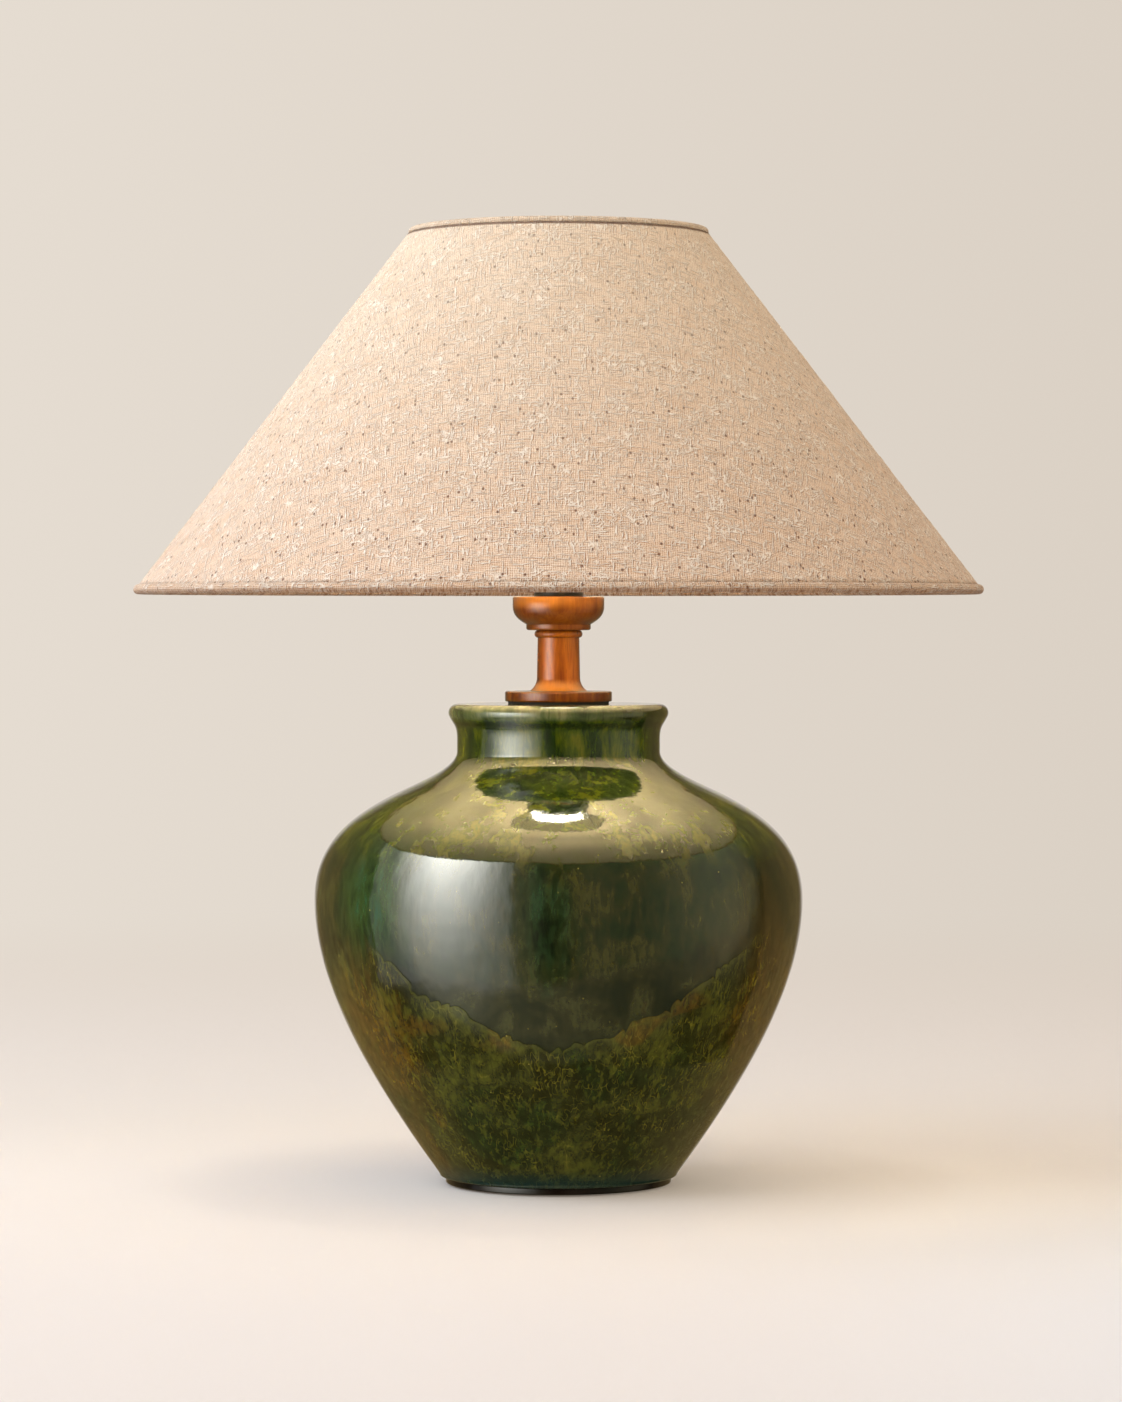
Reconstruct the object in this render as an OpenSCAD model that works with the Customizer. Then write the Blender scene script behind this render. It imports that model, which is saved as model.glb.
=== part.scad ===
// Bedside lamp: glazed urn, turned wood neck and cup, screw lampholder and a
// wide conical linen shade on a three-armed carrier. Millimetres, +Z up.
// The origin is the middle of the felt's underside, and -Y is the front.

/* [Base] */
// Thickness of the felt under the base
felt_t = 0.8; // [0.5:0.1:3]
// How far the felt stays inside the plate's edge
felt_inset = 2; // [1:0.5:6]
// Radius of the base plate
plate_r = 60; // [56:0.2:62]
// Thickness of the base plate's rim
plate_t = 3.6; // [3:0.1:7]
// Chamfer round the plate's top edge
plate_chamfer = 0.6; // [0.2:0.1:1.2]
// Height of the rim that centres the urn on the plate
spigot_h = 4.5; // [2:0.5:5.5]
// Wall of the centring rim
spigot_wall = 4; // [2:0.5:8]
// Radius of the boss that holds the nut
boss_r = 20; // [17:0.5:28]
// Thickness of metal above the nut's pocket
web_t = 4.5; // [3:0.5:8]
// Room for a spanner round the nut
spanner_room = 2.4; // [2:0.1:4]

/* [Urn] */
// Height of the urn from its foot to its flat top
urn_h = 249.9; // [246:0.1:262]
// Radius of the opening in the urn's foot
foot_open_r = 49; // [38:0.5:54]
// Radius of the urn's foot
foot_r = 63.4; // [62.5:0.1:68]
// Rounding of the foot's outer edge
foot_round = 1.4; // [0.6:0.1:2]
// Slope of the urn's side where it leaves the foot, in degrees
foot_slope = 54; // [48:1:62]
// How far the foot's slope carries up the side
foot_reach = 62; // [50:1:70]
// Radius of the belly
belly_r = 129.5; // [118:0.5:145]
// Height of the belly above the foot
belly_h = 146.4; // [135:0.5:152]
// Fullness of the side below the belly
belly_low = 45; // [35:1:55]
// Fullness of the side above the belly
belly_high = 30; // [24:1:36]
// Radius where the shoulder turns into the neck
shoulder_r = 88.4; // [82:0.2:94]
// Height of that turn above the foot
shoulder_h = 201.3; // [197:0.5:206]
// Slope of the shoulder there, in degrees
shoulder_slope = 26.9; // [20:0.5:34]
// Fullness of the shoulder outside the turn
shoulder_out = 24; // [18:1:28]
// Fullness of the shoulder inside the turn
shoulder_in = 14; // [9:0.5:18]
// Radius of the neck
neck_r = 54; // [50:0.5:56]
// Height where the neck begins
neck_h = 224.7; // [221:0.5:228]
// Fullness of the curve that runs into the neck
neck_low = 9; // [6:0.5:12]
// Length of the straight part of the neck
neck_len = 6.4; // [3:0.2:8]
// Greatest radius of the rolled rim
rim_r = 58.5; // [57.5:0.1:61]
// Radius of the rim's roll
rim_roll = 4.6; // [3.5:0.1:5.2]
// Thickness of the urn's wall
urn_wall = 6; // [4:0.2:7.5]
// Thickness of the urn's floor ring
floor_t = 7; // [6:0.5:10]
// Thickness of the urn's closed top
deck_t = 6; // [4:0.5:9]

/* [Cord outlet] */
// Place of the outlet up the urn's side, from 0 at the foot to 1 at the belly
outlet_place = 0.11; // [0.09:0.005:0.16]
// Radius of the hole through the bush
bush_bore_r = 3.5; // [2.5:0.1:3.8]
// Radius of the bush's barrel
bush_r = 5; // [4.6:0.1:6]
// Radius of the bush's flange
bush_flange_r = 7; // [6.5:0.1:8]
// Thickness of the bush's flange
bush_flange_t = 2; // [1:0.1:3]
// How far the barrel reaches into the urn
bush_inner = 3; // [1:0.5:6]
// Depth of the flat ground into the glaze for the flange
spot_depth = 0.7; // [0.5:0.1:1.2]

/* [Wood neck] */
// Radius of the wood flange
flange_r = 28.5; // [24:0.5:34]
// Thickness of the wood flange
flange_t = 5.6; // [4:0.2:8]
// Rounding of the flange's edges
flange_round = 1; // [0.5:0.1:1.5]
// Thickness of the gasket under the flange
gasket_t = 1.2; // [0.6:0.1:2.5]
// How far the gasket stays inside the flange
gasket_inset = 1.7; // [0.5:0.1:4]
// Radius of the column at its foot
column_r = 11.5; // [9.5:0.1:14]
// Radius of the column under the bead
column_top_r = 11.1; // [9:0.1:13]
// Height of the cove between flange and column
cove_h = 7.2; // [5:0.2:10]
// How far the cove spreads at the flange
cove_w = 4.2; // [2.5:0.1:6]
// Height of the whole wood neck
wood_neck_h = 37.9; // [32:0.1:48]
// Height of the bead at the top of the column
bead_h = 4; // [2.5:0.1:6]
// How far the bead stands out
bead_out = 1.7; // [0.8:0.1:2.5]
// Radius of the tenon that centres the cup
tenon_r = 8.2; // [7:0.1:9]
// Height of the tenon
tenon_h = 4; // [2:0.5:5]

/* [Wood cup] */
// Radius of the cup's lip
lip_r = 17.2; // [15:0.1:20]
// Height of the cup's lip
lip_h = 3; // [2:0.1:4]
// Radius of the cup
cup_r = 24.4; // [22:0.1:30]
// Height of the cup
cup_h = 17.9; // [16.5:0.1:24]
// Height of the straight part at the cup's top
cup_side_h = 5.2; // [3:0.1:6]
// Rounding of the cup's top edge
cup_round = 0.9; // [0.4:0.1:1.5]
// Radius of the pocket for the clamping nut
cup_pocket_r = 11; // [10:0.1:12]
// Depth of that pocket
cup_pocket_d = 6; // [5.4:0.1:8]

/* [Tie rod] */
// Outer radius of the hollow tie rod
rod_r = 5; // [4.5:0.05:5.5]
// Radius of the rod's bore
rod_bore_r = 3.5; // [2.5:0.1:3.8]
// Gap between the rod's foot and the felt
rod_foot_gap = 1; // [0.5:0.1:2]
// How far the rod reaches below its nut
rod_stub = 1.4; // [0.5:0.1:2]
// How far the rod reaches above the cup
rod_rise = 11; // [8:0.5:13]
// Height of the wire's hole in the rod above the urn's foot
rod_window_h = 22; // [18:0.5:40]
// Radius of the wire's hole in the rod
rod_window_r = 2.8; // [2:0.1:3.2]
// Radius of the washers
washer_r = 9.5; // [8.8:0.1:9.8]
// Thickness of the washers
washer_t = 1.5; // [1:0.1:2]
// Height of the nuts
nut_h = 3.6; // [3:0.1:3.8]
// Width across the flats of the nuts
nut_flats = 14; // [13:0.1:16]

/* [Lampholder] */
// Radius of the lampholder's neck
cap_neck_r = 13; // [12.2:0.1:15]
// Height of the lampholder's neck
cap_neck_h = 6.2; // [5:0.1:10]
// Height of the flare above the neck
cap_flare_h = 8.5; // [7:0.5:12]
// Radius of the cap
cap_r = 21; // [20.6:0.1:23]
// Height of the straight part of the cap
cap_side_h = 17; // [16:0.5:20]
// Wall of the cap
cap_wall = 2.1; // [1.8:0.1:2.3]
// Radius of the brass insert in the cap
insert_r = 8; // [7:0.1:9.5]
// How far the insert and the floor round it rise above the neck
insert_rise = 6.5; // [5.8:0.1:6.9]
// Radius of the grub screw
grub_r = 2; // [1.5:0.1:2.4]
// Height of the ceramic core
core_h = 13.6; // [12.5:0.1:15]
// Radius of the ceramic core
core_r = 17; // [15:0.1:17.2]
// Radius of the screws that hold the wires and the core
core_screw_r = 1.5; // [1:0.1:1.8]
// Distance of those screws from the middle
core_screw_at = 12.4; // [11.6:0.1:13]
// Width of the ledge that the core stands on
ledge_w = 1.2; // [0.6:0.1:1.6]
// Wall of the skirt
skirt_wall = 2.3; // [1.6:0.1:2.8]
// Radius of the skirt over its thread
skirt_r = 19.6; // [19.2:0.1:20.2]
// Depth of the skirt's thread
thread_depth = 0.7; // [0.4:0.1:0.9]
// Pitch of the skirt's thread
thread_pitch = 2.6; // [2:0.1:3.2]
// Height of the skirt above its flange
skirt_h = 26; // [24:0.5:32]
// Radius of the skirt's fixed flange
seat_r = 25.5; // [23:0.5:30]
// Thickness of the skirt's fixed flange
seat_t = 2; // [1.5:0.1:3]
// Height of the skirt's spigot inside the cap
skirt_plug_h = 2.4; // [1.5:0.1:3]
// Thickness of the lip round the skirt's mouth
lip_t = 2; // [1:0.1:3]
// Inner radius of the brass screw shell
shell_r = 13.4; // [13.3:0.05:13.6]
// Thickness of the brass screw shell
shell_t = 0.5; // [0.3:0.05:0.7]
// Width of the floor ring of the screw shell
shell_floor_w = 4; // [3:0.1:4.5]
// Width of the contact leaf
leaf_w = 5; // [3:0.1:6]
// Thickness of the contact leaf
leaf_t = 0.5; // [0.3:0.05:0.8]
// Height of the contact leaf
leaf_h = 6.2; // [5:0.1:8]

/* [Switch] */
// Radius of the switch's knob
knob_r = 6.5; // [5:0.1:7]
// Length of the switch's knob
knob_len = 10; // [7:0.5:14]
// Height of the knob's axis above the flare
knob_h = 9; // [8:0.5:9.5]
// Radius of the spindle
spindle_r = 2; // [1.5:0.1:2.4]
// Radius of the rotor inside the core
rotor_r = 3.6; // [3:0.1:4]
// Length of the rotor
rotor_len = 7; // [5:0.5:8]

/* [Bulb] */
// Radius of the bulb's glass
bulb_r = 30; // [27:0.5:32]
// Length of the bulb from its contact to its top
bulb_len = 104; // [100:1:112]
// Thickness of the bulb's glass
glass_t = 0.8; // [0.5:0.1:1.2]
// Radius of the bulb's screw cap over its thread
bulb_cap_r = 13.1; // [12.9:0.05:13.2]
// Depth of the bulb's thread
bulb_thread = 0.9; // [0.5:0.1:1.1]
// Pitch of the bulb's thread
bulb_pitch = 3.629; // [3.5:0.001:3.7]
// Height of the bulb's screw cap
bulb_cap_h = 19; // [17:0.5:20]
// Height of the contact and its black insulator
bulb_foot_h = 7.5; // [7:0.1:9]
// Thickness of the screw cap's metal
cap_sheet_t = 0.4; // [0.2:0.05:0.6]
// Radius of the bulb's centre contact
tip_r = 4.8; // [4:0.1:5.5]
// Height of the bulb's centre contact
tip_h = 1.5; // [1:0.1:2]
// Radius of the glass stem inside the bulb
stem_r = 4.5; // [3.5:0.1:6]
// Height of the stem above the screw cap
stem_h = 30; // [24:1:34]
// Length of the light strips
strip_len = 26; // [20:1:30]
// Radius of a light strip
strip_r = 0.9; // [0.6:0.1:1.2]

/* [Shade] */
// Outer radius of the shade at its bottom
shade_bottom_r = 225; // [190:1:240]
// Outer radius of the shade at its top
shade_top_r = 79.8; // [66:0.2:100]
// Height of the shade
shade_h = 194.4; // [180:0.5:215]
// How far the carrier's washer hangs below the shade's top
shade_drop = 161.7; // [150:0.1:175]
// Radius of the wire rings
wire_r = 1.5; // [1.3:0.1:1.8]
// Radius of the carrier's arms
arm_r = 1.3; // [1:0.1:1.3]
// Number of arms
arms = 3; // [3:1:4]
// Thickness of the carrier's washer
carrier_t = 1.6; // [1.2:0.1:2.5]
// Thickness of the shade's stiff lining
liner_t = 0.5; // [0.3:0.05:0.6]
// Thickness of the linen
linen_t = 0.7; // [0.4:0.05:0.8]
// Radius of the rolled trim at the top
top_trim_r = 2.2; // [2.1:0.1:3]
// Radius of the rolled trim at the bottom
bottom_trim_r = 2.6; // [2.1:0.1:3.2]

/* [Shade ring] */
// Outer radius of the screw ring that holds the carrier
ring_r = 28.5; // [26:0.5:33]
// Height of the screw ring
ring_h = 7.5; // [5:0.5:10]
// Number of grip notches round the ring
ring_notches = 18; // [12:1:24]
// Radius of a grip notch
notch_r = 2; // [1:0.1:2.6]

/* [Clearances] */
// Gap between the plate's centring rim and the urn
plate_gap = 0.4; // [0.2:0.1:1]
// Gap round the rod in the pieces that it holds together
rod_gap = 0.3; // [0.1:0.05:0.6]
// Gap round the cord bush and the tenon
seat_gap = 0.15; // [0.05:0.05:0.3]
// Radial running gap of the switch's spindle
run_gap = 0.06; // [0.02:0.01:0.1]
// Gap between pieces that are fixed together
fixed_gap = 0.05; // [0.02:0.01:0.1]
// Gap between a wire ring and the trim rolled round it
wire_gap = 0.15; // [0.1:0.05:0.25]
// Gap between a wire ring and the edge of the lining and the linen
edge_gap = 0.4; // [0.35:0.05:0.5]
// Gap between pieces that turn face to face
turn_gap = 0.1; // [0.05:0.05:0.3]
// Radial gap between the skirt and what goes round it
ring_gap = 0.4; // [0.2:0.1:0.8]

/* [Hidden] */

$fn = 96;
// Straight steps along a long curve, a full round and a small rounding
curve_steps = 12;
round_steps = 20;
corner_steps = 4;
// How far a cutter runs past what it cuts
through = 1;

// Heights of the seats, from the table up
urn_z = felt_t + plate_t;
deck_z = urn_z + urn_h;
flange_z = deck_z + gasket_t;
cup_z = flange_z + wood_neck_h;
cup_top_z = cup_z + cup_h;
cup_floor_z = cup_top_z - cup_pocket_d;
cap_side_z = cup_top_z + cap_neck_h + cap_flare_h;
cap_top_z = cap_side_z + cap_side_h;
seat_z = cap_top_z + seat_t;
carrier_z = seat_z + turn_gap;
ring_z = carrier_z + carrier_t + turn_gap;
knob_z = cap_side_z + knob_h;
grub_z = cup_top_z + cap_neck_h / 2;
core_top_z = cap_top_z - skirt_plug_h - turn_gap;
core_foot_z = core_top_z - core_h;
tip_z = core_top_z + leaf_h + turn_gap;
shade_top_z = carrier_z + shade_drop;

// The nut's pocket under the base plate, round the foot of the rod
rod_foot_z = felt_t + rod_foot_gap;
pocket_h = rod_foot_gap + rod_stub + nut_h + washer_t;
web_z = felt_t + pocket_h;
nut_r = nut_flats / 2 / cos(30);
pocket_r = nut_r + spanner_room;
rod_hole_r = rod_r + rod_gap;
insert_h = cap_neck_h + insert_rise;

function bez(p) = [for (i = [0:curve_steps]) point_at(p, i / curve_steps)];
function point_at(p, t) = pow(1 - t, 3) * p[0] + 3 * pow(1 - t, 2) * t * p[1]
    + 3 * (1 - t) * t * t * p[2] + pow(t, 3) * p[3];
// Direction of travel along a curve, from 0 at its start to 1 at its end
function heading(p, t) = let (d = (1 - t) * (1 - t) * (p[1] - p[0])
    + 2 * (1 - t) * t * (p[2] - p[1]) + t * t * (p[3] - p[2])) d / norm(d);
// The same curve moved square to itself, towards the axis
function inside(p, wall) = [for (i = [0:curve_steps])
    let (t = i / curve_steps, d = heading(p, t)) point_at(p, t) + wall * [-d.y, d.x]];
function polar(a) = [cos(a), sin(a)];
function arc(c, r, from, to, steps) = [for (i = [0:steps])
    c + r * polar(from + (to - from) * i / steps)];
function tail(v) = [for (i = [1:len(v) - 1]) v[i]];
function flipped(v) = [for (i = [len(v) - 1:-1:0]) v[i]];

// The urn's side, from the foot up, as four curves in radius and height
roll_at = -25;
roll_steps = 8;
flare_low = 0.6;
flare_high = 0.45;
roll_c = [rim_r - rim_roll, urn_h - rim_roll];
roll_start = roll_c + rim_roll * polar(roll_at);
foot_corner = [foot_r, foot_round];
low_side = [foot_corner, foot_corner + foot_reach * polar(foot_slope),
    [belly_r, belly_h - belly_low], [belly_r, belly_h]];
high_side = [[belly_r, belly_h], [belly_r, belly_h + belly_high],
    [shoulder_r, shoulder_h] + shoulder_out * polar(-shoulder_slope),
    [shoulder_r, shoulder_h]];
into_neck = [[shoulder_r, shoulder_h],
    [shoulder_r, shoulder_h] - shoulder_in * polar(-shoulder_slope),
    [neck_r, neck_h - neck_low], [neck_r, neck_h]];
neck_top = neck_h + neck_len;
flare_h = roll_start.y - neck_top;
flare = [[neck_r, neck_top], [neck_r, neck_top + flare_h * flare_low],
    roll_start - flare_h * flare_high * polar(90 + roll_at), roll_start];

module revolve(points) { rotate_extrude() polygon(points); }
module ring(outer, inner, height) {
    difference() {
        cylinder(r = outer, h = height);
        translate([0, 0, -through]) cylinder(r = inner, h = height + 2 * through);
    }
}

// The frame of the cord outlet: its +Z leaves the urn square to the wall
outlet = point_at(low_side, outlet_place);
outlet_heading = heading(low_side, outlet_place);
module at_outlet() {
    translate([0, outlet.x, urn_z + outlet.y])
        rotate([-atan2(outlet_heading.y, -outlet_heading.x), 0, 0]) children();
}

module urn() {
    inner_low = [for (p = inside(low_side, urn_wall)) if (p.y > floor_t) p];
    inner_side = concat(inner_low, tail(inside(high_side, urn_wall)),
        tail(inside(into_neck, urn_wall)));
    top_in = [inner_side[len(inner_side) - 1].x, urn_h - deck_t];
    bottom_edge = arc([foot_r - foot_round, foot_round], foot_round, -90, 0, corner_steps);
    outline = concat([[foot_open_r, 0]], bottom_edge, tail(bez(low_side)),
        tail(bez(high_side)), tail(bez(into_neck)), bez(flare),
        tail(arc(roll_c, rim_roll, roll_at, 90, roll_steps)),
        [[rod_hole_r, urn_h], [rod_hole_r, urn_h - deck_t], top_in],
        flipped(inner_side), [[inner_low[0].x, floor_t], [foot_open_r, floor_t]]);
    color("darkgreen") difference() {
        translate([0, 0, urn_z]) revolve(outline);
        at_outlet() translate([0, 0, -3 * urn_wall])
            cylinder(r = bush_r + seat_gap, h = 4 * urn_wall);
        at_outlet() translate([0, 0, -spot_depth])
            cylinder(r = bush_flange_r + seat_gap, h = urn_wall);
    }
}

module base_plate() {
    rim_r_out = foot_open_r - plate_gap;
    boss_top = pocket_h + web_t;
    color([0.1, 0.08, 0.07]) translate([0, 0, felt_t]) revolve([
        [pocket_r, 0], [plate_r, 0], [plate_r, plate_t - plate_chamfer],
        [plate_r - plate_chamfer, plate_t], [rim_r_out, plate_t],
        [rim_r_out, plate_t + spigot_h], [rim_r_out - spigot_wall, plate_t + spigot_h],
        [rim_r_out - spigot_wall, plate_t], [boss_r, plate_t], [boss_r, boss_top],
        [rod_hole_r, boss_top], [rod_hole_r, pocket_h], [pocket_r, pocket_h]]);
}

module base_felt() {
    color([0.12, 0.13, 0.12]) cylinder(r = plate_r - felt_inset, h = felt_t);
}

module cord_bush() {
    barrel = urn_wall - spot_depth + bush_inner;
    color([0.08, 0.08, 0.08]) at_outlet() translate([0, 0, -spot_depth]) difference() {
        union() {
            cylinder(r = bush_flange_r, h = bush_flange_t);
            translate([0, 0, -barrel]) cylinder(r = bush_r, h = barrel);
        }
        translate([0, 0, -barrel - through])
            cylinder(r = bush_bore_r, h = barrel + bush_flange_t + 2 * through);
    }
}

module neck_gasket() {
    color([0.1, 0.1, 0.1]) translate([0, 0, deck_z])
        ring(flange_r - gasket_inset, rod_hole_r, gasket_t);
}

module wood_neck() {
    column_h = wood_neck_h - bead_h;
    cove = [[column_r + cove_w, flange_t], [column_r + cove_w / 2, flange_t + cove_h / 8],
        [column_r, flange_t + cove_h / 2], [column_r, flange_t + cove_h]];
    bead = [for (a = [-90:15:90]) [column_top_r + bead_out * cos(a),
        column_h + bead_h / 2 * (1 + sin(a))]];
    edge_x = flange_r - flange_round;
    outline = concat([[rod_hole_r, 0]],
        arc([edge_x, flange_round], flange_round, -90, 0, corner_steps),
        arc([edge_x, flange_t - flange_round], flange_round, 0, 90, corner_steps),
        bez(cove), bead, [[tenon_r, wood_neck_h], [tenon_r, wood_neck_h + tenon_h],
        [rod_hole_r, wood_neck_h + tenon_h]]);
    color([0.55, 0.27, 0.1]) translate([0, 0, flange_z]) revolve(outline);
}

module wood_cup() {
    side_z = cup_h - cup_side_h;
    bowl_w = cup_r - lip_r;
    bowl_h = side_z - lip_h;
    spread = 0.4;
    start_rise = 0.18;
    side_rise = 0.42;
    bowl = [[lip_r, lip_h], [lip_r + bowl_w * spread, lip_h + bowl_h * start_rise],
        [cup_r, lip_h + bowl_h * side_rise], [cup_r, side_z]];
    lip_round = lip_h * 0.4;
    outline = concat([[tenon_r + seat_gap, 0]],
        arc([lip_r - lip_round, lip_round], lip_round, -90, 0, corner_steps), bez(bowl),
        arc([cup_r - cup_round, cup_h - cup_round], cup_round, 0, 90, corner_steps),
        [[cup_pocket_r, cup_h], [cup_pocket_r, cup_h - cup_pocket_d],
        [rod_hole_r, cup_h - cup_pocket_d], [rod_hole_r, tenon_h + seat_gap],
        [tenon_r + seat_gap, tenon_h + seat_gap]]);
    color([0.6, 0.3, 0.12]) translate([0, 0, cup_z]) revolve(outline);
}

module tie_rod() {
    top_z = cup_top_z + rod_rise;
    color([0.75, 0.72, 0.6]) difference() {
        translate([0, 0, rod_foot_z]) ring(rod_r, rod_bore_r, top_z - rod_foot_z);
        translate([0, 0, urn_z + rod_window_h]) rotate([-90, 0, 0])
            cylinder(r = rod_window_r, h = 2 * rod_r);
    }
}

module washer() { ring(washer_r, rod_r + run_gap, washer_t); }
module hex_nut() {
    difference() {
        cylinder(r = nut_r, h = nut_h, $fn = 6);
        translate([0, 0, -through]) cylinder(r = rod_r + run_gap, h = nut_h + 2 * through);
    }
}
module bottom_washer() {
    color("silver") translate([0, 0, web_z - washer_t]) washer();
}
module bottom_nut() {
    color("gold") translate([0, 0, web_z - washer_t - nut_h]) hex_nut();
}
module clamp_washer() { color("silver") translate([0, 0, cup_floor_z]) washer(); }
module clamp_nut() { color("gold") translate([0, 0, cup_floor_z + washer_t]) hex_nut(); }

// The lampholder's cap, with the brass insert that screws on the rod
module holder_cap() {
    side = cap_neck_h + cap_flare_h;
    top = side + cap_side_h;
    ledge = core_foot_z - turn_gap - cup_top_z;
    outer = [for (a = [-90:15:0]) [cap_neck_r + (cap_r - cap_neck_r) * cos(a),
        side + cap_flare_h * sin(a)]];
    outline = concat([[insert_r + fixed_gap, 0], [cap_neck_r, 0]], outer,
        [[cap_r, top], [cap_r - cap_wall, top], [cap_r - cap_wall, ledge],
        [core_r - ledge_w, ledge], [core_r - ledge_w, insert_h],
        [insert_r + fixed_gap, insert_h]]);
    color([0.07, 0.07, 0.07]) difference() {
        translate([0, 0, cup_top_z]) revolve(outline);
        translate([0, 0, grub_z]) rotate([-90, 0, 0])
            cylinder(r = grub_r + fixed_gap, h = 2 * cap_neck_r);
        translate([0, 0, knob_z]) rotate([90, 0, 0])
            cylinder(r = spindle_r + run_gap, h = 2 * cap_r);
    }
}
module rod_insert() {
    color("gold") difference() {
        translate([0, 0, cup_top_z]) ring(insert_r, rod_r + fixed_gap, insert_h);
        translate([0, 0, grub_z]) rotate([-90, 0, 0])
            cylinder(r = grub_r + fixed_gap, h = 2 * cap_neck_r);
    }
}
module grub_screw() {
    slot = grub_r / 3;
    tip = rod_r + turn_gap;
    color("dimgray") difference() {
        translate([0, tip, grub_z]) rotate([-90, 0, 0])
            cylinder(r = grub_r, h = cap_neck_r - tip - turn_gap);
        translate([-slot / 2, cap_neck_r - grub_r, grub_z - 2 * grub_r])
            cube([slot, 2 * grub_r, 4 * grub_r]);
    }
}

// The ceramic core, with its wells for the screws and the rotor's chamber
screw_angle = 45;
module at_core_screws(first) {
    for (a = [0, 180]) rotate(first + a) translate([core_screw_at, 0, 0]) children();
}
module holder_core() {
    color("ivory") difference() {
        translate([0, 0, core_foot_z]) cylinder(r = core_r, h = core_h);
        for (first = [screw_angle, -screw_angle]) at_core_screws(first)
            translate([0, 0, core_foot_z - through])
            cylinder(r = core_screw_r + turn_gap, h = core_h + 2 * through);
        translate([0, -core_r - through, knob_z]) rotate([-90, 0, 0])
            cylinder(r = rotor_r + turn_gap, h = rotor_len + through + turn_gap);
    }
}
module screw(length) {
    head_r = core_screw_r * 1.7;
    head_h = core_screw_r;
    slot = core_screw_r / 2;
    difference() {
        union() {
            translate([0, 0, -length]) cylinder(r = core_screw_r, h = length);
            cylinder(r = head_r, h = head_h);
        }
        translate([-2 * head_r, -slot / 2, head_h / 2]) cube([4 * head_r, slot, head_h]);
    }
}
module core_screws() {
    color("silver") at_core_screws(screw_angle) translate([0, 0, core_foot_z])
        mirror([0, 0, 1]) screw(core_h - turn_gap);
}
module terminal_screws() {
    color("gold") at_core_screws(-screw_angle) translate([0, 0, core_foot_z])
        mirror([0, 0, 1]) screw(core_h / 2);
}

// The brass screw shell stands on the core, and the leaf rises through its floor
module screw_shell() {
    shell_h = seat_z + skirt_h - lip_t - turn_gap - core_top_z;
    hole_r = shell_r - shell_floor_w;
    color("gold") translate([0, 0, core_top_z]) revolve([[hole_r, 0],
        [shell_r + shell_t, 0], [shell_r + shell_t, shell_h], [shell_r, shell_h],
        [shell_r, shell_t], [hole_r, shell_t]]);
}
module centre_contact() {
    reach = tip_r * 0.9;
    color("gold") translate([0, leaf_w / 2, core_top_z]) rotate([90, 0, 0])
        linear_extrude(leaf_w) polygon([[-reach, 0], [reach, 0], [reach, leaf_t],
        [leaf_t - reach, leaf_t], [reach / 2, leaf_h - leaf_t], [reach, leaf_h - leaf_t],
        [reach, leaf_h], [reach / 2 - leaf_t, leaf_h], [-reach, leaf_t]]);
}

module holder_skirt() {
    plug_r = cap_r - cap_wall - fixed_gap;
    root_r = skirt_r - thread_depth;
    bore = skirt_r - thread_depth - skirt_wall;
    lip = shell_r + shell_t + turn_gap;
    first = carrier_t + ring_gap;
    turns = floor((skirt_h - first - thread_pitch) / thread_pitch);
    ramp = thread_pitch * 0.3;
    crest = thread_pitch * 0.2;
    thread = [for (i = [0:turns - 1]) let (z = first + i * thread_pitch)
        each [[root_r, z], [skirt_r, z + ramp], [skirt_r, z + ramp + crest],
        [root_r, z + 2 * ramp + crest]]];
    outline = concat([[bore, -seat_t - skirt_plug_h], [plug_r, -seat_t - skirt_plug_h],
        [plug_r, -seat_t], [seat_r, -seat_t], [seat_r, 0], [skirt_r, 0],
        [skirt_r, first - thread_depth]], thread, [[root_r, skirt_h], [lip, skirt_h],
        [lip, skirt_h - lip_t], [bore, skirt_h - lip_t]]);
    color([0.07, 0.07, 0.07]) translate([0, 0, seat_z]) revolve(outline);
}

module shade_ring() {
    color([0.07, 0.07, 0.07]) difference() {
        translate([0, 0, ring_z]) ring(ring_r, skirt_r + ring_gap, ring_h);
        for (i = [0:ring_notches - 1]) rotate(i * 360 / ring_notches)
            translate([ring_r + notch_r / 2, 0, ring_z - through])
            cylinder(r = notch_r, h = ring_h + 2 * through);
    }
}

// The switch turns about an axis towards the front, through the cap's wall
knob_front = cap_r + turn_gap;
rotor_front = core_r - turn_gap;
knob_socket = knob_len * 0.7;
module switch_knob() {
    grips = 8;
    color([0.07, 0.07, 0.07]) translate([0, -knob_front, knob_z]) rotate([90, 0, 0])
        difference() {
            cylinder(r = knob_r, h = knob_len);
            translate([0, 0, -through])
                cylinder(r = spindle_r + fixed_gap, h = knob_socket + through);
            for (i = [0:grips - 1]) rotate(i * 360 / grips)
                translate([knob_r + knob_r / 8, 0, knob_len / 4])
                cylinder(r = knob_r / 4, h = knob_len);
        }
}
module switch_spindle() {
    back = rotor_front;
    front = knob_front + knob_socket;
    color("gold") translate([0, -back, knob_z]) rotate([90, 0, 0])
        cylinder(r = spindle_r, h = front - back);
}
module switch_rotor() {
    groove = rotor_r / 2;
    color("ivory") difference() {
        translate([0, -rotor_front, knob_z]) rotate([-90, 0, 0])
            cylinder(r = rotor_r, h = rotor_len - turn_gap);
        translate([-2 * rotor_r, -rotor_front + rotor_len / 2, knob_z + rotor_r - groove / 2])
            cube([4 * rotor_r, groove, groove]);
    }
}

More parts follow.
